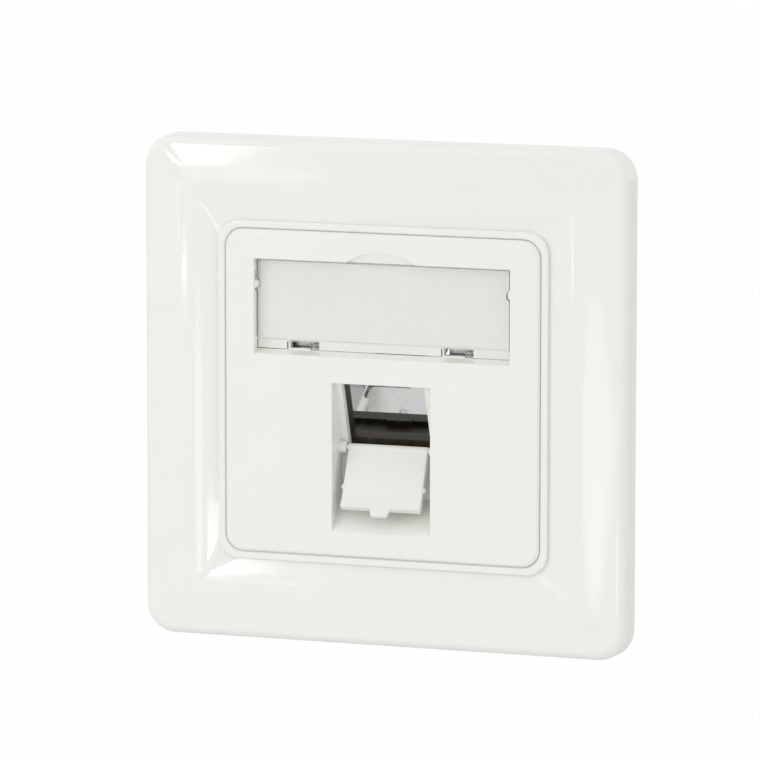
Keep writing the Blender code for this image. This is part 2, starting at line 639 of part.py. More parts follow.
def build_dust_flap():
    """Flap hung from its hinge. Its own -Z runs along the panel and -Y is the face seen when open."""
    half = FLAP_THICKNESS / 2
    lip_step = (-math.sin(FLAP_LIP_BEND) * FLAP_LIP_LENGTH, -math.cos(FLAP_LIP_BEND) * FLAP_LIP_LENGTH)
    lip_across = (math.cos(FLAP_LIP_BEND) * half, -math.sin(FLAP_LIP_BEND) * half)
    end = (lip_step[0], -FLAP_LENGTH + lip_step[1])
    panel = [(-half, 0.0), (-half, -FLAP_LENGTH), (end[0] - lip_across[0], end[1] - lip_across[1]),
             (end[0] + lip_across[0], end[1] + lip_across[1]), (half, -FLAP_LENGTH), (half, 0.0)]
    flap = prism("dust_flap", panel, -FLAP_WIDTH / 2, FLAP_WIDTH / 2, "X")
    join(flap, rod("flap barrel", FLAP_BARREL_RADIUS, -FLAP_WIDTH / 2, FLAP_WIDTH / 2, "X", (0.0, 0.0)))
    pin = SHAFT_WIDTH / 2 - SHAFT_WALL / 4 - HINGE_CLEARANCE
    join(flap, rod("flap pin", FLAP_PIN_RADIUS, -pin, pin, "X", (0.0, 0.0)))
    bump = FLAP_WIDTH / 2 + FLAP_BUMP_REACH
    join(flap, rod("flap bump", FLAP_BUMP_RADIUS, -bump, bump, "X", (0.0, -FLAP_BUMP_ALONG), steps=12))
    wide = FLAP_TAB_WIDTH / 2
    narrow = FLAP_TAB_END_WIDTH / 2
    overlap = 0.4 * MM
    tab = [(-wide, overlap), (-wide, 0.0), (-narrow, -FLAP_TAB_LENGTH), (narrow, -FLAP_TAB_LENGTH),
           (wide, 0.0), (wide, overlap)]
    swing = Matrix.Translation((0.0, end[0], end[1])) @ Matrix.Rotation(-FLAP_LIP_BEND, 4, "X")
    join(flap, prism("flap tab", tab, -half * 0.9, -half * 0.9 + FLAP_TAB_THICKNESS, "Y", swing))
    for thing in [flap] + [change.object for change in flap.modifiers]:
        thing.location = (0.0, behind_front(FLAP_HINGE_DEPTH), FLAP_HINGE_Z)
        thing.rotation_euler = (-FLAP_OPEN_ANGLE, 0.0, 0.0)
    return flap


def build_module_holder():
    """Slanted frame for one keystone module, with a latch shelf above and a wide hook shelf below it.

    Two flanges at its sides are riveted to the ring.
    """
    front = SLOPE_WALL + SEAT_GAP
    seat = front + HOLDER_FRONT
    back = seat + BAY_DEPTH
    sill = down_at_z(BAY_SILL_Z, 0.0) + SEAT_GAP
    floor = sill + BAY_BELOW_SILL
    ceiling = floor - BAY_HEIGHT
    top = ceiling - HOLDER_WALL
    foot = floor + HOLDER_WALL
    brow_y = behind_front(PLATE_FACE + 2 * SEAT_GAP)
    backing_y = behind_front(RECESS_DEPTH + RECESS_WALL + SEAT_GAP)
    step_z = RECESS_FOOT - RECESS_WALL - SEAT_GAP
    outer = BAY_WIDTH / 2 + HOLDER_WALL
    holder = prism("module_holder", [on_slope(foot, front), on_slope(down_at_y(brow_y, front), front),
                                     (brow_y, step_z), (backing_y, step_z),
                                     on_slope(top, (backing_y - on_slope(top, 0.0)[0]) / math.cos(SLOPE_ANGLE)),
                                     on_slope(top, back), on_slope(ceiling, back), on_slope(ceiling, seat),
                                     on_slope(foot, seat)], -outer, outer, "X")
    lintel = sill - WINDOW_HEIGHT
    cut(holder, prism("window", [on_slope(sill, front - MM), on_slope(lintel, front - MM),
                                 on_slope(lintel, seat + MM), on_slope(sill, seat + MM)],
                      -WINDOW_WIDTH / 2, WINDOW_WIDTH / 2, "X"))
    bite = HOLDER_WALL / 4
    join(holder, prism("hook shelf", [on_slope(floor, seat - MM), on_slope(floor, back - HOOK_LEDGE_LENGTH),
                                      on_slope(floor - HOOK_LEDGE_HEIGHT, back - HOOK_LEDGE_LENGTH),
                                      on_slope(floor - HOOK_LEDGE_HEIGHT, back), on_slope(foot - bite, back),
                                      on_slope(foot - bite, seat - MM)],
                       -SHELF_WIDTH / 2, SHELF_WIDTH / 2, "X"))
    catch_back = back - HOOK_LEDGE_LENGTH + bite
    join(holder, prism("catch", [on_slope(floor + bite, catch_back - bite - CATCH_LENGTH),
                                 on_slope(floor - CATCH_HEIGHT, catch_back - bite - CATCH_LENGTH),
                                 on_slope(floor - CATCH_HEIGHT, catch_back), on_slope(floor + bite, catch_back)],
                       CATCH_X - CATCH_WIDTH / 2, CATCH_X + CATCH_WIDTH / 2, "X"))
    for side in (-1, 1):
        low, high = sorted((side * (outer - HOLDER_WALL / 2), side * FLANGE_REACH))
        join(holder, block("flange", (low, SEAT_GAP, FLANGE_FOOT),
                           (high, SEAT_GAP + FLANGE_THICKNESS, FLANGE_TOP)))
    for x, z in rivet_places():
        cut(holder, rod("rivet hole", RIVET_SHANK + HINGE_CLEARANCE, -RING_THICKNESS,
                        SEAT_GAP + 2 * FLANGE_THICKNESS, "Y", (x, z)))
    return holder


def rivet_places():
    """Centres of the four rivets, as (x, z)."""
    middle = (FLANGE_FOOT + FLANGE_TOP) / 2
    return [(side * RIVET_X, middle + rise * RIVET_SPACING / 2) for side in (-1, 1) for rise in (-1, 1)]


def claw_slot_span():
    """Lowest and highest |x| of the ring's slot for a claw's tail."""
    lean = math.sin(CLAW_REST_ANGLE) * CLAW_TAIL
    return (CLAW_PIVOT_X - CLAW_THICKNESS / 2 - SEAT_GAP, CLAW_PIVOT_X + lean + CLAW_THICKNESS / 2 + SEAT_GAP)


def ring_plate_outline():
    """Square with chamfered corners, counter-clockwise."""
    half = RING_WIDTH / 2
    short = half - RING_CHAMFER
    quarter = [(half, short), (short, half)]
    points = []
    for turn in range(4):
        for across, up in quarter:
            for _ in range(turn):
                across, up = -up, across
            points.append((across, up))
    return points


def strip_outline(path, thickness):
    """Outline of a bent strip whose middle follows the path, mitred at the bends."""
    sides = ([], [])
    for index, point in enumerate(path):
        before = Vector(path[max(index - 1, 0)])
        after = Vector(path[min(index + 1, len(path) - 1)])
        here = Vector(point)
        incoming = (here - before).normalized() if index > 0 else (after - here).normalized()
        outgoing = (after - here).normalized() if index < len(path) - 1 else incoming
        across = Vector((-(incoming + outgoing).y, (incoming + outgoing).x)).normalized()
        reach = thickness / 2 / max(across.dot(Vector((-incoming.y, incoming.x))), 0.2)
        sides[0].append(tuple(here + across * reach))
        sides[1].append(tuple(here - across * reach))
    return sides[0] + sides[1][::-1]


def build_support_ring():
    """Sheet steel ring with its window, fixing slots, claw slots, screw collars and cable tray."""
    ring = prism("support_ring", ring_plate_outline(), -RING_THICKNESS, 0.0, "Y")
    window_half = SHAFT_WIDTH / 2 + SHAFT_WALL + WINDOW_SIDE_GAP
    window_middle = (RING_WINDOW_TOP + RING_WINDOW_FOOT) / 2
    cut(ring, prism("ring window", rounded_rectangle(2 * window_half, RING_WINDOW_TOP - RING_WINDOW_FOOT,
                                                     MM, (0.0, window_middle), 3),
                    -2 * RING_THICKNESS, RING_THICKNESS, "Y"))
    add_tray(ring)
    reach = BOX_SCREW_SPACING / 2
    for side in (-1, 1):
        width = 2 * (BOX_SCREW_SHANK + SEAT_GAP)
        cut(ring, prism("box slot", slot_outline(width, BOX_SLOT_LENGTH, (side * reach, 0.0)),
                        -2 * RING_THICKNESS, RING_THICKNESS, "Y"))
        cut(ring, prism("box slot", slot_outline(BOX_SLOT_LENGTH, width, (0.0, side * reach)),
                        -2 * RING_THICKNESS, RING_THICKNESS, "Y"))
        cut(ring, rod("claw screw hole", CLAW_SCREW_SHANK + SEAT_GAP, -2 * RING_THICKNESS, RING_THICKNESS, "Y",
                      (side * CLAW_SCREW_X, CLAW_Z)))
        low, high = claw_slot_span()
        low, high = sorted((side * low, side * high))
        cut(ring, block("claw slot", (low, -2 * RING_THICKNESS, CLAW_Z - CLAW_WIDTH / 2 - SEAT_GAP),
                        (high, RING_THICKNESS, CLAW_Z + CLAW_WIDTH / 2 + SEAT_GAP)))
        collar = rod("screw collar", PLATE_SCREW_SHANK + RING_THICKNESS, -RING_THICKNESS / 2, RING_THICKNESS, "Y",
                     (side * PLATE_SCREW_X, PLATE_SCREW_Z), far_radius=PLATE_SCREW_SHANK + RING_THICKNESS / 1.5)
        join(ring, collar)
        cut(ring, rod("plate screw thread", PLATE_SCREW_SHANK + HINGE_CLEARANCE, -2 * RING_THICKNESS,
                      2 * RING_THICKNESS, "Y", (side * PLATE_SCREW_X, PLATE_SCREW_Z)))
    for x, z in rivet_places():
        cut(ring, rod("rivet hole", RIVET_SHANK + HINGE_CLEARANCE, -2 * RING_THICKNESS, RING_THICKNESS, "Y", (x, z)))
    return ring


def tray_frame():
    """Frame at the tray's bend: its Z runs along the tray and its Y away from the cables it carries."""
    y = TRAY_STANDOFF
    z = RING_WINDOW_FOOT - TRAY_THICKNESS
    return Matrix.Translation((0.0, y, z)) @ Matrix.Rotation(TRAY_ANGLE - math.pi / 2, 4, "X")


def add_tray(ring):
    """Cable tray bent back from the ring's lower window edge: a neck, then a channel with tie slots and holes."""
    foot = RING_WINDOW_FOOT - TRAY_THICKNESS
    reach = TRAY_START + TRAY_SIDE_HEIGHT / 4
    end = (TRAY_STANDOFF + reach * math.cos(TRAY_ANGLE), foot + reach * math.sin(TRAY_ANGLE))
    neck = strip_outline([(-RING_THICKNESS / 2, foot), (TRAY_STANDOFF, foot), end], TRAY_THICKNESS * 0.96)
    join(ring, prism("tray neck", neck, -TRAY_NECK_WIDTH / 2, TRAY_NECK_WIDTH / 2, "X"))
    place = tray_frame()
    half = (TRAY_WIDTH - TRAY_THICKNESS) / 2
    bend = TRAY_BEND_RADIUS
    path = [(-half, -TRAY_SIDE_HEIGHT)] + arc_points((-half + bend, -bend), bend, 180, 90, 5)
    path += arc_points((half - bend, -bend), bend, 90, 0, 5) + [(half, -TRAY_SIDE_HEIGHT)]
    join(ring, prism("tray", strip_outline(path, TRAY_THICKNESS), TRAY_START, TRAY_LENGTH, "Z", place))
    for side in (-1, 1):
        slot = slot_outline(TIE_SLOT_LENGTH, TIE_SLOT_WIDTH, (side * TIE_SLOT_X, TRAY_LENGTH - TIE_SLOT_FROM_TIP), 4)
        cut(ring, prism("tie slot", slot, -TRAY_THICKNESS, TRAY_THICKNESS, "Y", place))
    for index in range(TIE_HOLES):
        across = (index - (TIE_HOLES - 1) / 2) * TIE_HOLE_PITCH
        hole = rounded_rectangle(TIE_HOLE_SIZE, TIE_HOLE_SIZE, TIE_HOLE_SIZE / 5,
                                 (across, TRAY_LENGTH - TIE_HOLE_FROM_TIP), 2)
        cut(ring, prism("tie hole", hole, -TRAY_THICKNESS, TRAY_THICKNESS, "Y", place))


def claw_pivot_y():
    """How far behind the wall's surface a claw's hinge line lies."""
    return SEAT_GAP + CLAW_THICKNESS / 2


def build_claw(side):
    """Bent claw at rest, hinged by its tail in the ring's slot. Its origin is on the hinge line."""
    name = "claw_right" if side > 0 else "claw_left"
    rest = CLAW_REST_ANGLE
    elbow = (CLAW_ARM * math.cos(rest), CLAW_ARM * math.sin(rest))
    leg = rest + CLAW_LEG_ANGLE
    tip = (elbow[0] + CLAW_LEG * math.cos(leg), elbow[1] + CLAW_LEG * math.sin(leg))
    tail_angle = rest - math.pi / 2
    tail = (CLAW_TAIL * math.cos(tail_angle), CLAW_TAIL * math.sin(tail_angle))
    mirrored = [(side * across, deep) for across, deep in (tail, (0.0, 0.0), elbow, tip)]
    claw = prism(name, strip_outline(mirrored, CLAW_THICKNESS), -CLAW_WIDTH / 2, CLAW_WIDTH / 2, "Z")
    turn = Matrix.Rotation(side * rest, 4, "Z")
    screw_along = CLAW_SCREW_X - CLAW_PIVOT_X
    near = screw_along - CLAW_SCREW_SHANK - 2 * SEAT_GAP
    far = (screw_along + CLAW_SCREW_SHANK) / math.cos(rest) + CLAW_THICKNESS / 2 * math.tan(rest) + SEAT_GAP
    low, high = sorted((side * near, side * far))
    width = 2 * (CLAW_SCREW_SHANK + SEAT_GAP)
    cut(claw, prism("claw screw slot", rounded_rectangle(high - low, width, width * 0.45, ((low + high) / 2, 0.0)),
                    -CLAW_THICKNESS, CLAW_THICKNESS, "Y", turn))
    pitch = CLAW_WIDTH / CLAW_TEETH
    tip_turn = Matrix.Translation((side * tip[0], tip[1], 0.0)) @ Matrix.Rotation(-side * (math.pi / 2 - leg), 4, "Z")
    for index in range(CLAW_TEETH - 1):
        middle = (index + 1) * pitch - CLAW_WIDTH / 2
        notch = [(-CLAW_TOOTH_DEPTH, middle), (MM, middle - pitch / 2 - MM * pitch / CLAW_TOOTH_DEPTH / 2),
                 (MM, middle + pitch / 2 + MM * pitch / CLAW_TOOTH_DEPTH / 2)]
        cut(claw, prism("tooth gap", notch, -CLAW_THICKNESS, CLAW_THICKNESS, "X", tip_turn))
    for thing in [claw] + [change.object for change in claw.modifiers]:
        thing.location = (side * CLAW_PIVOT_X, claw_pivot_y(), CLAW_Z)
    return claw


def head_seat():
    """Height above the wall at which screw heads sit on the ring."""
    return RING_THICKNESS + SEAT_GAP


def pan_head_profile(head, shank, foot, point):
    """Profile from the top of a pan head down its outer side to the shank's pointed end."""
    seat = head_seat()
    top = seat + HEAD_HEIGHT
    round_top = arc_points((head - HEAD_HEIGHT / 2, top - HEAD_HEIGHT / 2), HEAD_HEIGHT / 2, 90, 0, 4)
    return ([(0.0, top)] + round_top + [(head, seat), (shank, seat), (shank, foot + point),
                                        (shank - point, foot), (0.0, foot)])


def cut_slot(screw, head, place_x, place_z, angle):
    """A driving slot across the head."""
    top = -(head_seat() + HEAD_HEIGHT)
    turn = Matrix.Translation((place_x, 0.0, place_z)) @ Matrix.Rotation(angle, 4, "Y")
    slot = block("driver slot", (-head - MM, top - MM, -SLOT_WIDTH / 2), (head + MM, top + SLOT_DEPTH, SLOT_WIDTH / 2))
    slot.data.transform(turn)
    cut(screw, slot)


def build_claw_screw(side):
    name = "claw_screw_right" if side > 0 else "claw_screw_left"
    foot = head_seat() - CLAW_SCREW_LENGTH
    profile = pan_head_profile(CLAW_SCREW_HEAD, CLAW_SCREW_SHANK, foot, 0.5 * MM)
    screw = turned(name, profile, side * CLAW_SCREW_X, CLAW_Z)
    cut_slot(screw, CLAW_SCREW_HEAD, side * CLAW_SCREW_X, CLAW_Z, 0.35 * side)
    return screw


def claw_nut_rest_y():
    """Front of the nut at rest, clear of the tilted arm."""
    edge = CLAW_SCREW_X - CLAW_PIVOT_X + CLAW_NUT_WIDTH / 2
    rest = CLAW_REST_ANGLE
    return claw_pivot_y() + edge * math.tan(rest) + CLAW_THICKNESS / 2 / math.cos(rest) + SEAT_GAP


def build_claw_nut(side):
    name = "claw_nut_right" if side > 0 else "claw_nut_left"
    front = claw_nut_rest_y()
    outline = rounded_rectangle(CLAW_NUT_WIDTH, CLAW_NUT_HEIGHT, 0.6 * MM, steps=3)
    nut = prism(name, outline, front, front + CLAW_NUT_THICKNESS, "Y")
    cut(nut, rod("nut thread", CLAW_SCREW_SHANK + HINGE_CLEARANCE, front - MM, front + CLAW_NUT_THICKNESS + MM,
                 "Y", (0.0, 0.0)))
    for thing in [nut] + [change.object for change in nut.modifiers]:
        thing.location = (side * CLAW_SCREW_X, 0.0, CLAW_Z)
    return nut


def build_box_screw(side):
    name = "box_screw_right" if side > 0 else "box_screw_left"
    place = side * BOX_SCREW_SPACING / 2
    foot = head_seat() - BOX_SCREW_LENGTH
    profile = pan_head_profile(BOX_SCREW_HEAD, BOX_SCREW_SHANK, foot, 1.2 * MM)
    screw = turned(name, profile, place, 0.0)
    cut_slot(screw, BOX_SCREW_HEAD, place, 0.0, 0.6 * side)
    return screw


def build_plate_screw(side):
    """Countersunk screw from the recess floor into the ring's collar."""
    name = "plate_screw_right" if side > 0 else "plate_screw_left"
    top = PLATE_HEIGHT - RECESS_DEPTH - SEAT_GAP / 2
    sink = PLATE_SCREW_HEAD - PLATE_SCREW_SHANK
    foot = top - PLATE_SCREW_LENGTH
    profile = [(0.0, top), (PLATE_SCREW_HEAD, top), (PLATE_SCREW_SHANK, top - sink),
               (PLATE_SCREW_SHANK, foot + 0.4 * MM), (PLATE_SCREW_SHANK - 0.4 * MM, foot), (0.0, foot)]
    return turned(name, profile, side * PLATE_SCREW_X, PLATE_SCREW_Z)


def build_rivet(index, x, z):
    """Rivet through the ring and a holder flange, with a round head in front and a formed tail behind."""
    front = RING_THICKNESS + SEAT_GAP / 2
    tail = -(SEAT_GAP + FLANGE_THICKNESS + SEAT_GAP / 2)
    dome = arc_points((0.0, front), 1.0, 90, 0, 6)
    head = [(RIVET_HEAD * across, front + RIVET_HEAD_HEIGHT * (up - front)) for across, up in dome]
    tail_radius = (RIVET_HEAD + RIVET_SHANK) / 2
    profile = head + [(RIVET_SHANK, front), (RIVET_SHANK, tail), (tail_radius, tail),
                      (tail_radius, tail - RIVET_HEAD_HEIGHT), (0.0, tail - RIVET_HEAD_HEIGHT)]
    return turned("holder_rivet_" + str(index), profile, x, z, steps=16)


def build_outlet():
    clear_scene()
    finish_part(build_outer_frame(), WHITE_PLASTIC)
    finish_part(build_centre_plate(), WHITE_PLASTIC)
    finish_part(build_label_cover(), CLEAR_PLASTIC)
    finish_part(build_label_card(), CARD_PAPER)
    finish_part(build_dust_flap(), FLAP_PLASTIC)
    finish_part(build_support_ring(), ZINC_STEEL)
    finish_part(build_module_holder(), DARK_CAST)
    for index, (x, z) in enumerate(rivet_places(), 1):
        finish_part(build_rivet(index, x, z), SCREW_STEEL)
    for side in (-1, 1):
        finish_part(build_plate_screw(side), SCREW_STEEL)
        finish_part(build_box_screw(side), SCREW_STEEL)
        finish_part(build_claw(side), ZINC_STEEL)
        finish_part(build_claw_screw(side), SCREW_STEEL)
        finish_part(build_claw_nut(side), SCREW_STEEL)


build_outlet()
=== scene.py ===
"""Flush-mounted keystone outlet, dressed piece by piece over its solids, with its studio.

Metres, +Z up. X runs to the right along the wall and Y into the wall. Heights are measured out of the
wall, along -Y.
"""

import math

import bmesh
import bpy
from bpy.props import FloatProperty, FloatVectorProperty, PointerProperty
from mathutils import Matrix, Vector


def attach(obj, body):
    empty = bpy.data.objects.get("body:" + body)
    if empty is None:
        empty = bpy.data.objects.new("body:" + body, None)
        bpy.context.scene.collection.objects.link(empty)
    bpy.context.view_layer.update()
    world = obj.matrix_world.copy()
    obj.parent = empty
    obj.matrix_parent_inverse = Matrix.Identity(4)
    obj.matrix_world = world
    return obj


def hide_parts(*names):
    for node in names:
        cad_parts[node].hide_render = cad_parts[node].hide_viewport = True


bl_info = {
    "name": "Flush Keystone Outlet",
    "version": (1, 0, 0),
    "blender": (4, 5, 0),
    "location": "View3D > Sidebar > Outlet",
    "description": "Flush outlet with frame, plate, label window, dust flap, holder, ring and claws",
    "category": "Add Mesh",
}

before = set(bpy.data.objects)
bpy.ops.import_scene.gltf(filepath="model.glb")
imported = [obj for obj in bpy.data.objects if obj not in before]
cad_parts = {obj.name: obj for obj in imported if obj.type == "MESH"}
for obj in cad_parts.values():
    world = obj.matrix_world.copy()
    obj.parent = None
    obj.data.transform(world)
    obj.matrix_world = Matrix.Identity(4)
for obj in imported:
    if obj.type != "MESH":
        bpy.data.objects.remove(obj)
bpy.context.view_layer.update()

MM = 0.001
SMOOTH_ANGLE = math.radians(32.0)

# Relations fixed by how the pieces fit, which a user doesn't change
CUTTER_REACH = 1.0 * MM
SEAT_GAP = 0.3 * MM
PIN_ROOM = 0.15 * MM
HOLE_ROOM = 0.15 * MM
FINE_EDGE = 0.05 * MM
SHEET_EDGE = 0.08 * MM
ROUND_EDGE = 0.1 * MM
PLATE_EDGE = 0.12 * MM
PANEL_EDGE = 0.22 * MM

# Cover frame
FRAME_WALL = 1.7 * MM
EDGE_SWEEP = 78
EDGE_TIGHTENING = 0.8
CREST_CORNER = 1.7 * MM
CREST_STEPS = 24
CREASE_CORNER = 0.9 * MM
SLOPE_STEPS = 6
RIM_EDGE = 0.25 * MM
RIM_CORNER_STEP = 0.45 * MM
SNUG_GAP = 0.03 * MM
REBATE_DEPTH = 0.35 * MM
LEDGE_DEPTH = 1.75 * MM
LEDGE_THICKNESS = 1.0 * MM
ROOF_HEIGHT = 3.5 * MM

# Centre plate, label recess and port shaft
BACKING_SHARE = 0.6
RECESS_WALL = 1.1 * MM
RECESS_FOOT_SLOPE = 0.5 * MM
RECESS_ROLL_SHARE = 0.6
NOTCH_RISE = 1.75 * MM
NOTCH_DIP = 0.5 * MM
NOTCH_DEPTH = 0.6 * MM
NOTCH_EDGE = 0.06 * MM
POCKET_DEPTH = 0.55 * MM
POCKET_SETBACK = 0.6 * MM
POCKET_BELOW = 1.1 * MM
POCKET_ABOVE = 2.2 * MM
SINK_REACH = 0.5 * MM
BUMP_REACH = 0.45 * MM
BUMP_DOME = 0.02 * MM
BUMP_ROUNDING = 0.15 * MM
BUMP_FOOT = 0.4 * MM
LATCH_MARGIN = 8.35 * MM
LATCH_SHIFT = -0.6 * MM
HOOK_WIDTH = 0.7 * MM
HOOK_LENGTH = 2.6 * MM
SHAFT_WALL = 1.2 * MM
SLOPE_WALL = 1.2 * MM
SLOPE_TOP_DEPTH = 0.9 * MM
APERTURE_WIDTH = 13.7 * MM
APERTURE_LENGTH = 12.2 * MM

# Label window
SCALLOP_MOUTH = 0.6 * MM
SCALLOP_FOOT = 0.2 * MM

# Dust flap, with its hinge as (y, z)
FLAP_HINGE = (-1.5 * MM, -8.8 * MM)
FLAP_THICKNESS = 1.1 * MM
BARREL_RADIUS = 0.65 * MM
PIN_RADIUS = 0.5 * MM
EAR_RADIUS = 0.95 * MM
EAR_EDGE = 0.15 * MM
LIP_LENGTH = 1.8 * MM
LIP_BEND = math.radians(13.0)
TAB_WIDTH = 3.4 * MM
TAB_END = 2.5 * MM
TAB_LENGTH = 1.3 * MM
TAB_ROOT = 0.4 * MM
TAB_THICKNESS = 0.7 * MM
LIP_ROUNDING = 1.2 * MM
FLAP_BUMP = 0.5 * MM
FLAP_BUMP_ALONG = 6.4 * MM

# Module holder
BAY_SILL_Z = -7.7 * MM
BAY_BELOW_SILL = 3.1 * MM
SHELF_WIDTH = 22.6 * MM
CATCH_X = -2.4 * MM
CATCH_WIDTH = 4.2 * MM
CATCH_HEIGHT = 1.1 * MM
CATCH_LENGTH = 0.6 * MM
HOOK_LEDGE_HEIGHT = 0.9 * MM
HOOK_LEDGE_LENGTH = 2.4 * MM
FLANGE_REACH = 14.6 * MM
FLANGE_THICKNESS = 1.4 * MM
FLANGE_FOOT = -6.6 * MM
FLANGE_TOP = 5.2 * MM

# Support ring and tray
RING_THICKNESS = 1.2 * MM
WINDOW_HALF = 9.9 * MM
WINDOW_TOP = 8.9 * MM
WINDOW_FOOT = -19.6 * MM
TRAY_NECK = 19.0 * MM
TRAY_THICKNESS = 1.0 * MM
TRAY_BEND = 1.8 * MM
NECK_BEND = 1.2 * MM
NECK_SHARE = 0.96
TRAY_STANDOFF = 2.2 * MM
COLLAR_FOOT = 0.15 * MM
TIE_SLOT = (7.0 * MM, 2.0 * MM, 0.998 * MM)
TIE_SLOT_X = 8.6 * MM
TIE_SLOT_FROM_TIP = 2.4 * MM
PRESSED_PAD = (7.7 * MM, 3.3 * MM, 0.8 * MM)
PRESSED_PAD_X = 9.6 * MM
PRESSED_PAD_FROM_TIP = 5.45 * MM
PRESSED_PAD_FLOOR = 0.38 * MM
TIE_HOLE = (1.5 * MM, 1.5 * MM, 0.3 * MM)
TIE_HOLE_FROM_TIP = 9.8 * MM
TIE_HOLES = 5
TIE_PITCH = 5.6 * MM
BOX_SPACING = 60.0 * MM
BOX_SLOT = 8.0 * MM

# Screws, rivets, claws and nuts
HEAD_HEIGHT = 1.6 * MM
HEAD_SEAT = RING_THICKNESS + SEAT_GAP
BOX_HEAD = 2.75 * MM
BOX_SHANK = 1.55 * MM
BOX_SCREW = {"reach": 16.0 * MM, "pitch": 0.8 * MM, "point": 2.4 * MM}
DRIVER_SLOT = 0.45 * MM
DRIVER_SLOT_DEPTH = 0.7 * MM
DRIVER_CROSS_DEPTH = 1.1 * MM
DRIVER_CROSS_SHARE = 0.62
THREAD_DEPTH = 0.28 * MM
PLATE_SCREW_MARGIN = 4.1 * MM
PLATE_SCREW_Z = 14.6 * MM
PLATE_HEAD = 2.5 * MM
PLATE_SHANK = 1.25 * MM
PLATE_REACH = 5.0 * MM
PLATE_PITCH = 0.5 * MM
PLATE_POINT = 0.5 * MM
PLATE_THREAD = 0.18 * MM
PLATE_OVERLAP = 0.2 * MM
PLATE_HEAD_EDGE = 0.06 * MM
PLATE_CROSS = (1.5 * MM, 0.8 * MM, 0.3 * MM)
PLATE_CROSS_ANGLE = 0.4
RIVET_X = 12.3 * MM
RIVET_HEAD = 1.7 * MM
RIVET_SHANK = 1.1 * MM
RIVET_RISE = 0.9 * MM
RIVET_EDGE = 0.15 * MM
RIVET_SPACING = 7.4 * MM
CLAW_SCREW_X = 21.0 * MM
CLAW_Z = -6.3 * MM
CLAW_WIDTH = 9.0 * MM
CLAW_THICKNESS = 1.2 * MM
CLAW_PIVOT_X = 16.0 * MM
CLAW_TAIL = 1.9 * MM
CLAW_BEND = 1.0 * MM
TOOTH_DEPTH = 2.4 * MM
CLAW_HEAD = 2.9 * MM
CLAW_SHANK = 1.9 * MM
CLAW_SCREW = {"reach": 17.0 * MM, "pitch": 0.7 * MM, "point": 0.6 * MM}
NUT_WIDTH = 5.6 * MM
NUT_HEIGHT = 7.0 * MM
NUT_THICKNESS = 2.4 * MM
NUT_CORNER = 0.6 * MM
NUT_EDGE = 0.15 * MM
NUT_THREAD = 0.2 * MM

# Studio
AIM = (-2.01 * MM, 0.0, 1.90 * MM)
SENSOR_WIDTH = 36.0
CLIP = (0.05, 50.0)
FRONT_BAND = (-1.0, 0.3)
FLOOR_HALF = 4.0
FLOOR_Z = -0.30
FLOOR_GREYS = (0.79, 0.82)
FLOOR_GLOW = 0.98


def length(name, description, millimetres):
    """A size in metres that a user can change, given in millimetres here."""
    return FloatProperty(name=name, description=description, default=millimetres * MM, unit="LENGTH",
                         precision=4, min=0.0)


def strength(name, description, value):
    return FloatProperty(name=name, description=description, default=value)


def turn(name, description, degrees):
    return FloatProperty(name=name, description=description, default=math.radians(degrees), subtype="ANGLE",
                         unit="ROTATION")


def colour(name, description, value):
    return FloatVectorProperty(name=name, description=description, default=value, subtype="COLOR", size=3,
                               min=0.0, max=1.0)


class CoverSizes(bpy.types.PropertyGroup):
    width: length("Width", "Outer width and height of the cover frame", 80.0)
    corner: length("Corner radius", "Radius of the outer corners seen from the front", 4.8)
    side: length("Side height", "Height of the straight outer wall above the wall's surface", 3.3)
    edge: length("Edge radius", "Rounding between the outer wall and the front", 1.6)
    draft: length("Draft", "How far the outer wall leans in", 0.15)
    crest_inset: length("Crest inset", "Distance of the crest from the outer edge", 8.0)
    crest: length("Crest height", "Height of the crest above the wall's surface", 5.3)
    valley_inset: length("Valley inset", "Distance of the inner crease from the outer edge", 10.6)
    valley: length("Valley height", "Height of the inner crease above the wall's surface", 5.0)
    foot: length("Rim foot", "Height at which the rim rises from the sloped face", 4.5)
    rim: length("Rim height", "Height of the raised rim round the plate", 5.15)
    rim_width: length("Rim width", "Width of the rim's flat top", 0.9)


class PlateSizes(bpy.types.PropertyGroup):
    width: length("Width", "Outer width of the centre plate", 51.9)
    squeeze: length("Squeeze", "How much less the plate and its opening reach up than sideways", 0.26)
    height: length("Height", "Height of its front face above the wall's surface", 5.5)
    corner: length("Corner radius", "Radius of its corners seen from the front", 2.9)
    edge: length("Edge radius", "Rounding of its front edge", 0.7)
    gap: length("Gap", "Gap between the plate and the frame", 0.13)
    face: length("Face thickness", "Wall thickness of the front face", 1.6)
    skirt: length("Skirt thickness", "Wall thickness of the rim behind the face", 1.4)
    roll: length("Mouth rounding", "Rounding of the edges of its openings", 0.22)
    recess_width: length("Recess width", "Width of the label recess", 42.2)
    recess_top: length("Recess top", "Height of the recess's upper wall on the plate", 21.0)
    recess_foot: length("Recess foot", "Height of the recess's lower wall on the plate", 6.5)
    recess_depth: length("Recess depth", "Depth of the recess floor behind the front face", 2.2)
    notch: length("Finger notch radius", "Radius of the shallow finger notch above the label", 10.65)


class ShaftSizes(bpy.types.PropertyGroup):
    width: length("Shaft width", "Inner width of the slanted shaft", 16.2)
    top: length("Shaft top", "Height of the shaft's upper edge on the plate", 1.8)
    foot: length("Shaft foot", "Height at which the floor ramp meets the front face, counted down", 21.7)
    depth: length("Shaft depth", "Depth of the shaft's back wall behind the front face", 5.1)
    slope: turn("Slope", "Tilt of the port face", 20.0)
    flap_angle: turn("Flap angle", "How far the open flap stands out from hanging", 22.6)
    flap_width: length("Flap width", "Width of the dust flap", 13.2)
    flap_length: length("Flap length", "Length of the flap's flat panel from its hinge", 8.2)


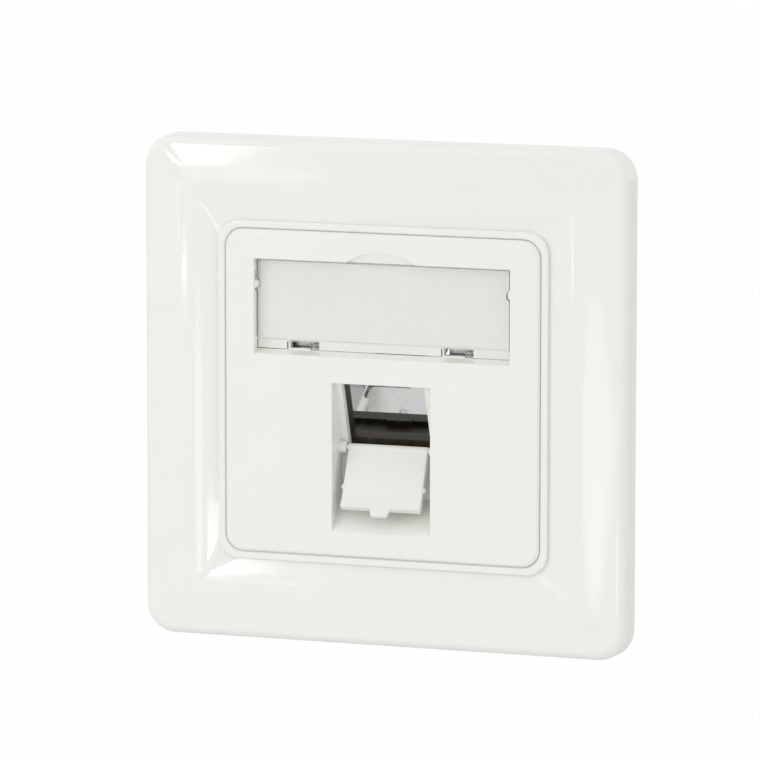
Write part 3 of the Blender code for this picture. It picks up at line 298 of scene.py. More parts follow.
class WindowSizes(bpy.types.PropertyGroup):
    gap: length("Gap", "Gap between the clear cover and the recess", 0.25)
    setback: length("Setback", "How far the cover lies behind the plate's face", 0.35)
    thickness: length("Thickness", "Thickness of the clear cover", 1.0)
    bar: length("Bar height", "Height of the stepped bar along the cover's foot", 1.5)
    step: length("Bar step", "How far the bar lies behind the rest of the cover", 0.45)
    scallop: length("Scallop", "How far the finger scallop dips into the cover's top edge", 1.3)
    bump: length("Bump radius", "Radius of the snap bumps beside the cover", 0.7)
    snap: length("Bump height", "Height of the snap bumps on the plate", 16.9)
    latch: length("Latch width", "Width of the two latch slots", 4.9)
    latch_foot: length("Latch foot", "Lower edge of the latch slots on the plate", 6.8)
    latch_top: length("Latch top", "Upper edge of the latch slots on the plate", 8.0)
    card: length("Card thickness", "Thickness of the blank card", 0.3)


class HolderSizes(bpy.types.PropertyGroup):
    bay_width: length("Bay width", "Inner width of the module bay", 14.9)
    bay_height: length("Bay height", "Inner height of the module bay", 16.4)
    bay_depth: length("Bay depth", "Depth of the module bay behind its window", 10.1)
    wall: length("Wall", "Wall thickness of the casting", 1.4)
    front: length("Front", "Thickness of the front frame", 2.4)
    window_width: length("Window width", "Width of the opening for the module's face", 13.9)
    window_height: length("Window height", "Height of the opening for the module's face", 10.4)


class RingSizes(bpy.types.PropertyGroup):
    width: length("Width", "Outer width and height of the ring", 71.0)
    chamfer: length("Chamfer", "Cut at each of the ring's corners", 9.0)
    tray_width: length("Tray width", "Outer width of the cable tray", 28.8)
    tray_side: length("Tray side", "Height of the tray's folded sides", 8.0)
    tray_angle: turn("Tray angle", "Rise of the tray towards the back", 34.0)
    tray_start: length("Tray start", "Distance from the tray's bend to its folded sides", 12.0)
    tray_length: length("Tray length", "Length of the tray from its bend", 34.0)


class ClawSizes(bpy.types.PropertyGroup):
    rest: turn("Rest angle", "Angle of a claw's arm while it is folded in", 25.0)
    arm: length("Arm", "Length of the arm from hinge to elbow", 10.5)
    leg: length("Leg", "Length of the leg from elbow to teeth", 18.0)
    leg_angle: turn("Leg angle", "Bend at the elbow", 70.0)


class OutletColours(bpy.types.PropertyGroup):
    plastic: colour("White plastic", "Warm white of the frame, plate and flap", (0.86, 0.862, 0.815))
    card: colour("Label card", "Pale grey of the blank card", (0.80, 0.808, 0.772))
    zinc: colour("Zinc plating", "Ring, tray and claws", (0.68, 0.685, 0.685))
    # The holder's near-black colour is painted shade, standing in for the shadowed front of its bay.
    cast: colour("Dark casting", "Module holder", (0.034, 0.028, 0.015))
    steel: colour("Bright steel", "Screws, nuts and rivets", (0.66, 0.65, 0.62))


class StudioSettings(bpy.types.PropertyGroup):
    azimuth: turn("Azimuth", "Camera's angle round the outlet", 19.07)
    elevation: turn("Elevation", "Camera's angle above the horizon", 8.49)
    roll: turn("Roll", "Camera's turn about its view", 0.058)
    distance: length("Distance", "Camera's distance from the outlet", 963.3)
    focal: strength("Focal length", "Camera's focal length in millimetres", 290.29)
    ambient: strength("Ambient", "Strength of the even studio light", 0.73)
    sky: strength("Sky", "How much stronger the light is from straight above", 0.12)
    facing: strength("Facing", "How much stronger the light is from the front", 0.18)
    front: strength("Front", "Strength of what mirrors in front of the outlet", 0.2)


# Outlines and solids

def arc(centre, radius, start, end, steps):
    """Points on an arc with both ends, from one angle to another in degrees."""
    points = []
    for index in range(steps + 1):
        angle = math.radians(start + (end - start) * index / steps)
        points.append((centre[0] + radius * math.cos(angle), centre[1] + radius * math.sin(angle)))
    return points


def rounded(width, height, radius, centre=(0.0, 0.0), steps=8):
    """Outline of a rectangle with round corners, counter-clockwise."""
    across = width / 2 - radius
    up = height / 2 - radius
    points = []
    for index, (side, rise) in enumerate(((1, 1), (-1, 1), (-1, -1), (1, -1))):
        corner = (centre[0] + side * across, centre[1] + rise * up)
        points += arc(corner, radius, 90 * index, 90 * index + 90, steps)
    return points


def signed_area(outline):
    total = 0.0
    for (ax, ay), (bx, by) in zip(outline, outline[1:] + outline[:1]):
        total += ax * by - bx * ay
    return total / 2


def grown(outline, distance):
    """The outline moved outward by a distance, each corner along its mitre."""
    count = len(outline)
    sign = 1.0 if signed_area(outline) > 0 else -1.0
    moved = []
    for index in range(count):
        here = Vector(outline[index])
        before = (here - Vector(outline[index - 1])).normalized()
        after = (Vector(outline[(index + 1) % count]) - here).normalized()
        across = Vector((before.y + after.y, -(before.x + after.x)))
        if across.length < 1e-9:
            across = Vector((before.y, -before.x))
        across.normalize()
        reach = distance / max(across.dot(Vector((before.y, -before.x))), 0.35)
        moved.append(tuple(here + across * reach * sign))
    return moved


def strip(path, thickness):
    """Outline of a bent strip whose middle follows the path."""
    sides = ([], [])
    for index, point in enumerate(path):
        here = Vector(point)
        incoming = (here - Vector(path[index - 1])).normalized() if index > 0 else None
        outgoing = (Vector(path[index + 1]) - here).normalized() if index < len(path) - 1 else None
        incoming = incoming or outgoing
        outgoing = outgoing or incoming
        across = Vector((-(incoming + outgoing).y, (incoming + outgoing).x)).normalized()
        reach = thickness / 2 / max(across.dot(Vector((-incoming.y, incoming.x))), 0.2)
        sides[0].append(tuple(here + across * reach))
        sides[1].append(tuple(here - across * reach))
    return sides[0] + sides[1][::-1]


def bent(path, radius, steps=6):
    """The path with each of its inner corners rounded."""
    smooth = [path[0]]
    for before, here, after in zip(path, path[1:], path[2:]):
        here = Vector(here)
        into = (Vector(before) - here).normalized()
        out = (Vector(after) - here).normalized()
        half = math.acos(max(-1.0, min(1.0, into.dot(out)))) / 2
        back = radius / math.tan(half)
        middle = here + (into + out).normalized() * (radius / math.sin(half))
        start = here + into * back - middle
        swept = start.angle_signed(here + out * back - middle)
        for index in range(steps + 1):
            smooth.append(tuple(middle + Matrix.Rotation(-swept * index / steps, 2) @ start))
    smooth.append(path[-1])
    return smooth


def make_object(name, built, keep_normals=False):
    """Turns built faces into an object of the scene."""
    if not keep_normals:
        bmesh.ops.recalc_face_normals(built, faces=built.faces[:])
    mesh = bpy.data.meshes.new(name)
    built.to_mesh(mesh)
    built.free()
    thing = bpy.data.objects.new(name, mesh)
    bpy.context.scene.collection.objects.link(thing)
    return thing


def loft(name, levels, closed=False):
    """A skin over outlines with equal counts of 3-D points, closed into a ring or filled at both ends."""
    built = bmesh.new()
    loops = [[built.verts.new(point) for point in level] for level in levels]
    count = len(loops[0])
    pairs = list(zip(loops, loops[1:]))
    if closed:
        pairs.append((loops[-1], loops[0]))
    for lower, upper in pairs:
        for index in range(count):
            after = (index + 1) % count
            built.faces.new((lower[index], lower[after], upper[after], upper[index]))
    if not closed:
        built.faces.new(loops[0])
        built.faces.new(loops[-1])
    return make_object(name, built)


def place_points(outline, level, axis):
    """Outline pairs set at a level along an axis: (y, z) along X, (x, z) along Y and (x, y) along Z."""
    if axis == "X":
        return [Vector((level, first, second)) for first, second in outline]
    if axis == "Y":
        return [Vector((first, level, second)) for first, second in outline]
    return [Vector((first, second, level)) for first, second in outline]


def prism(name, outline, low, high, axis, edge=0.0, place=None, steps=3):
    """An outline given thickness along an axis, its ends rounded where an edge radius is given."""
    levels = [(outline, low), (outline, high)]
    if edge > 0.0:
        rounds = [(grown(outline, -edge * (1.0 - math.sin(angle))), edge * (1.0 - math.cos(angle)))
                  for angle in (math.pi / 2 * index / steps for index in range(steps + 1))]
        levels = [(shape, low + inset) for shape, inset in rounds]
        levels += [(shape, high - inset) for shape, inset in reversed(rounds)]
    thing = loft(name, [place_points(shape, level, axis) for shape, level in levels])
    if place is not None:
        thing.data.transform(place)
    return thing


def mouth(name, outline, front, back, roll, steps=4, foot_shift=None):
    """A cutter along Y that leaves a rounded edge where it enters the front face."""
    levels = [place_points(grown(outline, roll), front - CUTTER_REACH, "Y")]
    for index in range(steps + 1):
        angle = math.pi / 2 * index / steps
        shape = grown(outline, roll * (1.0 - math.sin(angle)))
        levels.append(place_points(shape, front + roll * (1.0 - math.cos(angle)), "Y"))
    deep = [foot_shift(point) for point in outline] if foot_shift else outline
    levels.append(place_points(deep, back, "Y"))
    return loft(name, levels)


def block(name, low, high, edge=0.0, steps=2):
    """A box between two corners, its edges rounded where an edge radius is given."""
    built = bmesh.new()
    bmesh.ops.create_cube(built, size=1.0)
    size = [high[index] - low[index] for index in range(3)]
    middle = [(high[index] + low[index]) / 2 for index in range(3)]
    bmesh.ops.scale(built, vec=size, verts=built.verts[:])
    bmesh.ops.translate(built, vec=middle, verts=built.verts[:])
    if edge > 0.0:
        bmesh.ops.bevel(built, geom=built.edges[:], offset=edge, segments=steps, profile=0.5,
                        affect="EDGES")
    return make_object(name, built)


def turned(name, profile, centre, axis="Y", steps=48):
    """A turned solid. Profile pairs are (radius, place along the axis); the ends are closed on the axis."""
    built = bmesh.new()
    rings = []
    for radius, along in profile:
        if radius < 1e-7:
            rings.append([built.verts.new(turned_point(0.0, 0.0, along, centre, axis))])
            continue
        ring = []
        for index in range(steps):
            angle = 2 * math.pi * index / steps
            first, second = radius * math.cos(angle), radius * math.sin(angle)
            ring.append(built.verts.new(turned_point(first, second, along, centre, axis)))
        rings.append(ring)
    for lower, upper in zip(rings, rings[1:]):
        for index in range(steps):
            after = (index + 1) % steps
            corners = [lower[index % len(lower)], lower[after % len(lower)], upper[after % len(upper)],
                       upper[index % len(upper)]]
            face = list(dict.fromkeys(corners))
            if len(face) > 2:
                built.faces.new(face)
    for ring in (rings[0], rings[-1]):
        if len(ring) > 1:
            built.faces.new(ring)
    return make_object(name, built)


def turned_point(first, second, along, centre, axis):
    if axis == "X":
        return Vector((along, centre[0] + first, centre[1] + second))
    if axis == "Y":
        return Vector((centre[0] + first, along, centre[1] + second))
    return Vector((centre[0] + first, centre[1] + second, along))


def round_bar(name, radius, low, high, centre, axis="Y"):
    """A plain round bar with square ends, mostly used as a cutter."""
    return turned(name, [(radius, low), (radius, high)], centre, axis)


def threaded(name, centre, low, high, outer, pitch, depth, point, steps=24, rows=8):
    """A shank along Y with a helical thread. Its far end tapers over the length of its point."""
    built = bmesh.new()
    count = max(2, round((high - low) / pitch * rows))
    rings = []
    for row in range(count + 1):
        along = low + (high - low) * row / count
        left = (high - along) / point if point > 0.0 else 1.0
        taper = 0.15 + 0.85 * min(1.0, left)
        ring = []
        for index in range(steps):
            phase = (along / pitch - index / steps) % 1.0
            radius = (outer - depth * abs(2.0 * phase - 1.0)) * taper
            angle = 2 * math.pi * index / steps
            ring.append(built.verts.new((centre[0] + radius * math.cos(angle), along,
                                         centre[1] + radius * math.sin(angle))))
        rings.append(ring)
    for lower, upper in zip(rings, rings[1:]):
        for index in range(steps):
            after = (index + 1) % steps
            built.faces.new((lower[index], lower[after], upper[after], upper[index]))
    built.faces.new(rings[0])
    built.faces.new(rings[-1])
    return make_object(name, built)


def combine(piece, helpers, operation):
    """Adds or removes helper solids, which are used up."""
    for helper in helpers:
        change = piece.modifiers.new(helper.name, "BOOLEAN")
        change.operation = operation
        change.solver = "EXACT"
        change.object = helper
        bake(piece)
        mesh = helper.data
        bpy.data.objects.remove(helper, do_unlink=True)
        bpy.data.meshes.remove(mesh)
    return piece


def bake(piece):
    """Applies the piece's modifiers to its mesh."""
    bpy.context.view_layer.update()
    evaluated = piece.evaluated_get(bpy.context.evaluated_depsgraph_get())
    mesh = bpy.data.meshes.new_from_object(evaluated)
    old = piece.data
    piece.modifiers.clear()
    piece.data = mesh
    bpy.data.meshes.remove(old)
    mesh.name = piece.name
    return piece


def gather(name, things):
    """Joins separate solids of one piece into one object."""
    built = bmesh.new()
    for thing in things:
        thing.data.transform(thing.matrix_world)
        built.from_mesh(thing.data)
        mesh = thing.data
        bpy.data.objects.remove(thing, do_unlink=True)
        bpy.data.meshes.remove(mesh)
    return make_object(name, built)


def soften(piece, width, steps=2, angle=SMOOTH_ANGLE):
    """Rounds the sharp edges of a piece by a small width."""
    change = piece.modifiers.new("Worn edges", "BEVEL")
    change.width = width
    change.segments = steps
    change.limit_method = "ANGLE"
    change.angle_limit = angle
    change.use_clamp_overlap = False
    return bake(piece)


def shade(piece, angle=SMOOTH_ANGLE):
    """Smooth shading that keeps flat faces flat."""
    piece.data.shade_smooth()
    piece.data.set_sharp_from_angle(angle=angle)
    change = piece.modifiers.new("Flat faces", "WEIGHTED_NORMAL")
    change.keep_sharp = True
    change.weight = 90
    return bake(piece)


def place(piece, material, body, slot, *nodes):
    """Gives the piece its finish, lets it ride on its body and hides the solids it stands for."""
    piece.data.materials.clear()
    piece.data.materials.append(material)
    if nodes:
        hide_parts(*nodes)
    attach(piece, body)
    return piece


# Finishes

def feed(tree, sockets, values):
    """Gives each socket its number, or a link where the value is another node's output."""
    for socket, value in zip(sockets, values):
        if isinstance(value, bpy.types.NodeSocket):
            tree.links.new(value, socket)
        else:
            socket.default_value = value


def calculated(tree, operation, *values):
    """The output of a maths node whose values are numbers or other nodes' outputs."""
    node = tree.nodes.new("ShaderNodeMath")
    node.operation = operation
    feed(tree, node.inputs, values)
    return node.outputs[0]


class Finish:
    """Short names for the nodes of one material."""

    def __init__(self, name):
        self.material = bpy.data.materials.new(name)
        self.material.use_nodes = True
        self.tree = self.material.node_tree
        self.shader = self.tree.nodes["Principled BSDF"]
        self.where = self.tree.nodes.new("ShaderNodeTexCoord").outputs["Object"]

    def set(self, **sockets):
        for name, value in sockets.items():
            self.shader.inputs[name.replace("_", " ")].default_value = value

    def link(self, source, target):
        self.tree.links.new(source, target)

    def stretched(self, scale, angle=(0.0, 0.0, 0.0)):
        mapping = self.tree.nodes.new("ShaderNodeMapping")
        mapping.inputs["Scale"].default_value = scale
        mapping.inputs["Rotation"].default_value = angle
        self.link(self.where, mapping.inputs["Vector"])
        return mapping.outputs["Vector"]

    def noise(self, size, detail=3.0, rough=0.5, where=None):
        node = self.tree.nodes.new("ShaderNodeTexNoise")
        node.inputs["Scale"].default_value = 1.0 / size
        node.inputs["Detail"].default_value = detail
        node.inputs["Roughness"].default_value = rough
        self.link(where or self.where, node.inputs["Vector"])
        return node.outputs["Fac"]

    def cells(self, size, where=None):
        node = self.tree.nodes.new("ShaderNodeTexVoronoi")
        node.inputs["Scale"].default_value = 1.0 / size
        self.link(where or self.where, node.inputs["Vector"])
        return node.outputs["Distance"]

    def ramp(self, value, *stops):
        node = self.tree.nodes.new("ShaderNodeValToRGB")
        band = node.color_ramp
        while len(band.elements) < len(stops):
            band.elements.new(0.5)
        for element, (at, shade_value) in zip(band.elements, stops):
            element.position = at
            if isinstance(shade_value, float):
                element.color = (shade_value, shade_value, shade_value, 1.0)
            else:
                element.color = (*shade_value, 1.0)
        self.link(value, node.inputs["Fac"])
        return node.outputs["Color"]

    def span(self, value, low, high):
        node = self.tree.nodes.new("ShaderNodeMapRange")
        node.inputs["To Min"].default_value = low
        node.inputs["To Max"].default_value = high
        self.link(value, node.inputs["Value"])
        return node.outputs["Result"]

    def mix(self, amount, first, second, blend="MIX"):
        node = self.tree.nodes.new("ShaderNodeMix")
        node.data_type = "RGBA"
        node.blend_type = blend
        for socket, value in ((node.inputs[0], amount), (node.inputs[6], first), (node.inputs[7], second)):
            if isinstance(value, bpy.types.NodeSocket):
                self.link(value, socket)
            elif isinstance(value, float):
                socket.default_value = value
            else:
                socket.default_value = (*value, 1.0)
        return node.outputs[2]

    def overlay(self, amount, kind):
        """Mixes a second shader of some kind over the first."""
        over = self.tree.nodes.new(kind)
        blend = self.tree.nodes.new("ShaderNodeMixShader")
        for socket, source in zip(blend.inputs, (amount, self.shader.outputs[0], over.outputs[0])):
            self.link(source, socket)
        self.link(blend.outputs[0], self.tree.nodes["Material Output"].inputs["Surface"])

    def bump(self, height, strength, distance):
        node = self.tree.nodes.new("ShaderNodeBump")
        node.inputs["Strength"].default_value = strength
        node.inputs["Distance"].default_value = distance
        self.link(height, node.inputs["Height"])
        previous = self.shader.inputs["Normal"].links
        if previous:
            self.link(previous[0].from_socket, node.inputs["Normal"])
        self.link(node.outputs["Normal"], self.shader.inputs["Normal"])


def tinted(base, change):
    return tuple(max(0.0, min(1.0, value + change)) for value in base)


def moulded_plastic(name, base, gloss, wave):
    """Glossy moulded plastic: slow waviness, fine grain, a few dust specks and slightly uneven gloss."""
    finish = Finish(name)
    slow = finish.noise(9.0 * MM, 2.0)
    fine = finish.noise(0.12 * MM, 3.0)
    specks = finish.cells(3.2 * MM)
    toned = finish.ramp(slow, (0.3, tinted(base, -0.006)), (0.7, tinted(base, 0.006)))
    dusty = finish.ramp(specks, (0.0, 0.42), (0.028, 1.0))
    finish.link(finish.mix(0.55, toned, dusty, "MULTIPLY"), finish.shader.inputs["Base Color"])
    finish.link(finish.span(finish.noise(1.6 * MM, 4.0), gloss - 0.03, gloss + 0.05),
                finish.shader.inputs["Roughness"])
    finish.set(IOR=1.5)
    finish.bump(slow, 1.0, wave)
    finish.bump(fine, 0.06, 0.002 * MM)
    return finish.material


def clear_plastic():
    """Clear moulding that bends what is seen through it and lets soft light pass to the card behind."""
    finish = Finish("clear_label_window")
    finish.set(IOR=1.49, Transmission_Weight=1.0, Base_Color=(0.985, 0.99, 0.985, 1.0))
    finish.link(finish.span(finish.noise(3.0 * MM, 4.0), 0.015, 0.05), finish.shader.inputs["Roughness"])
    finish.bump(finish.noise(14.0 * MM, 1.0), 1.0, 0.02 * MM)
    path = finish.tree.nodes.new("ShaderNodeLightPath")
    rays = (path.outputs["Is Shadow Ray"], path.outputs["Is Diffuse Ray"])
    lit = calculated(finish.tree, "MAXIMUM", *rays)
    finish.overlay(lit, "ShaderNodeBsdfTransparent")
    return finish.material


def card_paper(base):
    finish = Finish("blank_card")
    fibre = finish.noise(0.35 * MM, 5.0, 0.7, finish.stretched((1.0, 1.0, 3.0)))
    finish.link(finish.ramp(fibre, (0.35, tinted(base, -0.02)), (0.65, tinted(base, 0.012))),
                finish.shader.inputs["Base Color"])
    finish.link(finish.span(fibre, 0.72, 0.9), finish.shader.inputs["Roughness"])
    finish.bump(fibre, 0.5, 0.02 * MM)
    return finish.material


def zinc_plate(base):
    """Bright zinc on rolled sheet: bluish and warm clouds, rolling lines and soft spangle."""
    finish = Finish("zinc_plate")
    cloud = finish.noise(5.0 * MM, 3.0)
    lines = finish.noise(0.25 * MM, 3.0, 0.6, finish.stretched((1.0, 0.06, 0.06)))
    warm = (base[0], base[1] * 0.985, base[2] * 0.93)
    cool = (base[0] * 0.97, base[1] * 0.97, base[2] * 0.985)
    clouded = finish.ramp(cloud, (0.35, cool), (0.65, warm))
    finish.link(finish.mix(0.25, clouded, finish.ramp(lines, (0.3, 0.72), (0.7, 1.0)), "MULTIPLY"),
                finish.shader.inputs["Base Color"])
    finish.link(finish.span(finish.noise(1.1 * MM, 4.0, 0.65), 0.18, 0.38), finish.shader.inputs["Roughness"])
    finish.set(Metallic=1.0)
    finish.bump(lines, 0.2, 0.006 * MM)
    finish.bump(cloud, 0.6, 0.05 * MM)
    return finish.material


def painted_shade_casting(base):
    """Near-black casting colour that is painted shade for the holder's shadowed bay, with a fine sandy skin
    and worn, lighter patches.
    """
    finish = Finish("painted_shade_casting")
    patch = finish.noise(2.4 * MM, 4.0, 0.6)
    sand = finish.noise(0.16 * MM, 3.0, 0.7)
    finish.link(finish.ramp(patch, (0.3, tinted(base, -0.012)), (0.55, base), (0.75, tinted(base, 0.03))),
                finish.shader.inputs["Base Color"])
    finish.link(finish.span(patch, 0.42, 0.62), finish.shader.inputs["Roughness"])
    finish.set(Metallic=0.1, Specular_IOR_Level=0.35)
    finish.bump(sand, 0.4, 0.02 * MM)
    return finish.material


def bright_steel(base):
    """Turned and plated steel with fine lines and slight stains."""
    finish = Finish("bright_steel")
    stain = finish.noise(1.3 * MM, 4.0, 0.6)
    fine = finish.noise(0.08 * MM, 2.0, 0.5, finish.stretched((1.0, 0.15, 1.0)))
    finish.link(finish.ramp(stain, (0.3, tinted(base, -0.1)), (0.7, tinted(base, 0.03))),
                finish.shader.inputs["Base Color"])
    finish.link(finish.span(stain, 0.32, 0.2), finish.shader.inputs["Roughness"])
    finish.set(Metallic=1.0)
    finish.bump(fine, 0.3, 0.008 * MM)
    return finish.material


def finish_named(name):
    """The material of that name, made the first time a piece asks for it."""
    found = bpy.data.materials.get(name)
    if found is not None:
        return found
    colours = bpy.context.scene.outlet_colours
    white = tuple(colours.plastic)
    makers = {
        "white_moulding": lambda: moulded_plastic("white_moulding", white, 0.05, 0.012 * MM),
        # The flap's moulding is less glossy and a little darker than the white; the darker tone is painted
        # shade for the flap hanging inside the shaft.
        "painted_shade_flap_moulding": lambda: moulded_plastic("painted_shade_flap_moulding", tinted(white, -0.025), 0.30, 0.01 * MM),
        "clear_label_window": clear_plastic,
        "blank_card": lambda: card_paper(tuple(colours.card)),
        "zinc_plate": lambda: zinc_plate(tuple(colours.zinc)),
        "painted_shade_casting": lambda: painted_shade_casting(tuple(colours.cast)),
        "bright_steel": lambda: bright_steel(tuple(colours.steel)),
    }
    return makers[name]()


# Places on the slanted port, shared by plate, flap and holder

def behind(depth):
    """The Y of a point so far behind the plate's front face."""
    return depth - context_plate().height


def on_slope(down, inward):
    """(y, z) of a point measured down the port face from its top edge, and into the wall from it."""
    sizes = bpy.context.scene.outlet_shaft
    y = behind(SLOPE_TOP_DEPTH) + down * math.sin(sizes.slope) + inward * math.cos(sizes.slope)
    z = sizes.top - down * math.cos(sizes.slope) + inward * math.sin(sizes.slope)
    return (y, z)


def down_at_z(z, inward):
    sizes = bpy.context.scene.outlet_shaft
    return (sizes.top + inward * math.sin(sizes.slope) - z) / math.cos(sizes.slope)


def down_at_y(y, inward):
    sizes = bpy.context.scene.outlet_shaft
    return (y - behind(SLOPE_TOP_DEPTH) - inward * math.cos(sizes.slope)) / math.sin(sizes.slope)


def context_plate():
    return bpy.context.scene.outlet_plate


def latch_centre():
    """How far each latch slot lies from the middle before their common shift."""
    return context_plate().recess_width / 2 - LATCH_MARGIN


def plate_screw_x():
    return context_plate().recess_width / 2 - PLATE_SCREW_MARGIN


def rivet_places():
    """Centres of the four rivets, as (x, z)."""
    middle = (FLANGE_FOOT + FLANGE_TOP) / 2
    return [(side * RIVET_X, middle + rise * RIVET_SPACING / 2) for side in (-1, 1) for rise in (-1, 1)]


def rivet_holes(start, end):
    """Cutters for the rivets' holes, between two places along Y."""
    return [round_bar("rivet hole", RIVET_SHANK + HOLE_ROOM, start, end, spot) for spot in rivet_places()]


def claw_slot_span():
    """Lowest and highest |x| of the ring's slot for a claw's tail."""
    lean = math.sin(bpy.context.scene.outlet_claw.rest) * CLAW_TAIL
    return (CLAW_PIVOT_X - CLAW_THICKNESS / 2 - SEAT_GAP, CLAW_PIVOT_X + lean + CLAW_THICKNESS / 2 + SEAT_GAP)


def claw_pivot_y():
    return SEAT_GAP + CLAW_THICKNESS / 2


def claw_nut_rest_y():
    """Front of the nut at rest, clear of the tilted arm."""
    edge = CLAW_SCREW_X - CLAW_PIVOT_X + NUT_WIDTH / 2
    rest = bpy.context.scene.outlet_claw.rest
    return claw_pivot_y() + edge * math.tan(rest) + CLAW_THICKNESS / 2 / math.cos(rest) + SEAT_GAP


# Lamps as name, shape, place, width and height in metres, glow, and whether glossy faces mirror them
LAMPS = (
    ("left_window", "RECTANGLE", (-0.55, -0.62, 0.16), (0.4, 0.5), 2.0, False),
    ("right_fill", "RECTANGLE", (0.9, -0.25, 0.1), (0.5, 0.5), 1.0, False),
    ("mitre_glint", "ELLIPSE", (-0.457, -0.95, 0.047), (0.055, 0.03), 7.0, True),
    ("left_glint", "RECTANGLE", (-0.438, -0.95, -0.116), (0.04, 0.01), 8.0, True),
    ("left_line", "ELLIPSE", (-0.492, -0.95, -0.085), (0.014, 0.075), 2.0, True),
    ("top_left_glow", "ELLIPSE", (-0.39, -0.95, 0.02), (0.09, 0.12), 1.3, True),
    ("right_band", "ELLIPSE", (-0.128, -0.95, -0.163), (0.16, 0.1), 1.5, True),
    ("right_core", "ELLIPSE", (-0.11, -0.95, -0.187), (0.06, 0.035), 1.0, True),
    ("corner_upright", "ELLIPSE", (0.06, -0.95, -0.197), (0.06, 0.032), 6.0, True),
    ("corner_lying", "ELLIPSE", (-0.393, -0.95, 0.16), (0.045, 0.21), 6.0, True),
    ("corner_glint", "ELLIPSE", (0.68, -0.55, 0.61), (0.08, 0.08), 14.0, True),
)


class OUTLET_OT_studio(bpy.types.Operator):
    """Set up the camera, the even light and the pale floor"""
    bl_idname = "outlet.studio"
    bl_label = "Studio"

    def execute(self, context):
        settings = context.scene.outlet_studio
        context.scene.view_settings.view_transform = "Standard"
        self.add_camera(context, settings)
        self.add_world(context, settings)
        self.add_floor(context)
        for lamp in LAMPS:
            self.add_lamp(context, *lamp)
        return {"FINISHED"}

    def add_camera(self, context, settings):
        away, up = settings.azimuth, settings.elevation
        back = Vector((math.sin(away) * math.cos(up), -math.cos(away) * math.cos(up), math.sin(up)))
        data = bpy.data.cameras.new("camera")
        data.lens = settings.focal
        data.sensor_width = SENSOR_WIDTH
        data.clip_start, data.clip_end = CLIP
        camera = bpy.data.objects.new("camera", data)
        context.scene.collection.objects.link(camera)
        looking = (-back).to_track_quat("-Z", "Y").to_matrix().to_4x4()
        stand = Matrix.Translation(Vector(AIM) + back * settings.distance)
        camera.matrix_world = stand @ (looking @ Matrix.Rotation(settings.roll, 4, "Z"))
        context.scene.camera = camera

    def add_world(self, context, settings):
        world = bpy.data.worlds.new("pale_studio")
        world.use_nodes = True
        tree = world.node_tree
        nodes, links = tree.nodes, tree.links
        background = nodes["Background"]
        where = nodes.new("ShaderNodeTexCoord")
        split = nodes.new("ShaderNodeSeparateXYZ")
        links.new(where.outputs["Generated"], split.inputs["Vector"])
        path = nodes.new("ShaderNodeLightPath")
        rise = calculated(tree, "MULTIPLY_ADD", split.outputs["Z"], settings.sky, settings.ambient)
        even = calculated(tree, "MULTIPLY_ADD", split.outputs["Y"], -settings.facing, rise)
        front = nodes.new("ShaderNodeMapRange")
        front.inputs["From Min"].default_value, front.inputs["From Max"].default_value = FRONT_BAND
        front.inputs["To Min"].default_value = settings.front
        front.inputs["To Max"].default_value = 1.0
        links.new(split.outputs["Y"], front.inputs["Value"])
        mirrored = self.choose(tree, path.outputs["Is Glossy Ray"], even, front.outputs["Result"])
        rays = (path.outputs["Is Camera Ray"], path.outputs["Is Transmission Ray"])
        seen = calculated(tree, "MAXIMUM", *rays)
        links.new(self.choose(tree, seen, mirrored, 1.0), background.inputs["Strength"])
        background.inputs["Color"].default_value = (1.0, 1.0, 1.0, 1.0)
        context.scene.world = world

    def choose(self, tree, amount, off, on):
        """The first value where the amount is 0 and the second where it is 1."""
        node = tree.nodes.new("ShaderNodeMix")
        feed(tree, node.inputs[:1] + node.inputs[2:4], (amount, off, on))
        return node.outputs[0]

    def add_floor(self, context):
        built = bmesh.new()
        bmesh.ops.create_grid(built, x_segments=8, y_segments=8, size=FLOOR_HALF)
        floor = make_object("pale_floor", built, keep_normals=True)
        floor.location.z = FLOOR_Z
        finish = Finish("pale_floor")
        dark, light = FLOOR_GREYS
        finish.link(finish.ramp(finish.noise(30.0 * MM, 4.0), (0.3, dark), (0.7, light)),
                    finish.shader.inputs["Base Color"])
        finish.set(Roughness=0.9)
        path = finish.tree.nodes.new("ShaderNodeLightPath")
        share = calculated(finish.tree, "MULTIPLY", path.outputs["Is Camera Ray"], FLOOR_GLOW)
        finish.overlay(share, "ShaderNodeEmission")
        floor.data.materials.append(finish.material)

    def add_lamp(self, context, name, shape, spot, size, glow, mirrored):
        """A lamp of some shape and size whose face glows so many times as bright as white."""
        data = bpy.data.lights.new(name, "AREA")
        data.shape = shape
        data.size, data.size_y = size
        fill = math.pi / 4 if shape == "ELLIPSE" else 1.0
        data.energy = glow * math.pi * size[0] * size[1] * fill
        lamp = bpy.data.objects.new(name, data)
        context.scene.collection.objects.link(lamp)
        lamp.location = spot
        lamp.visible_glossy = mirrored
        lamp.rotation_euler = (-Vector(spot)).to_track_quat("-Z", "Y").to_euler()


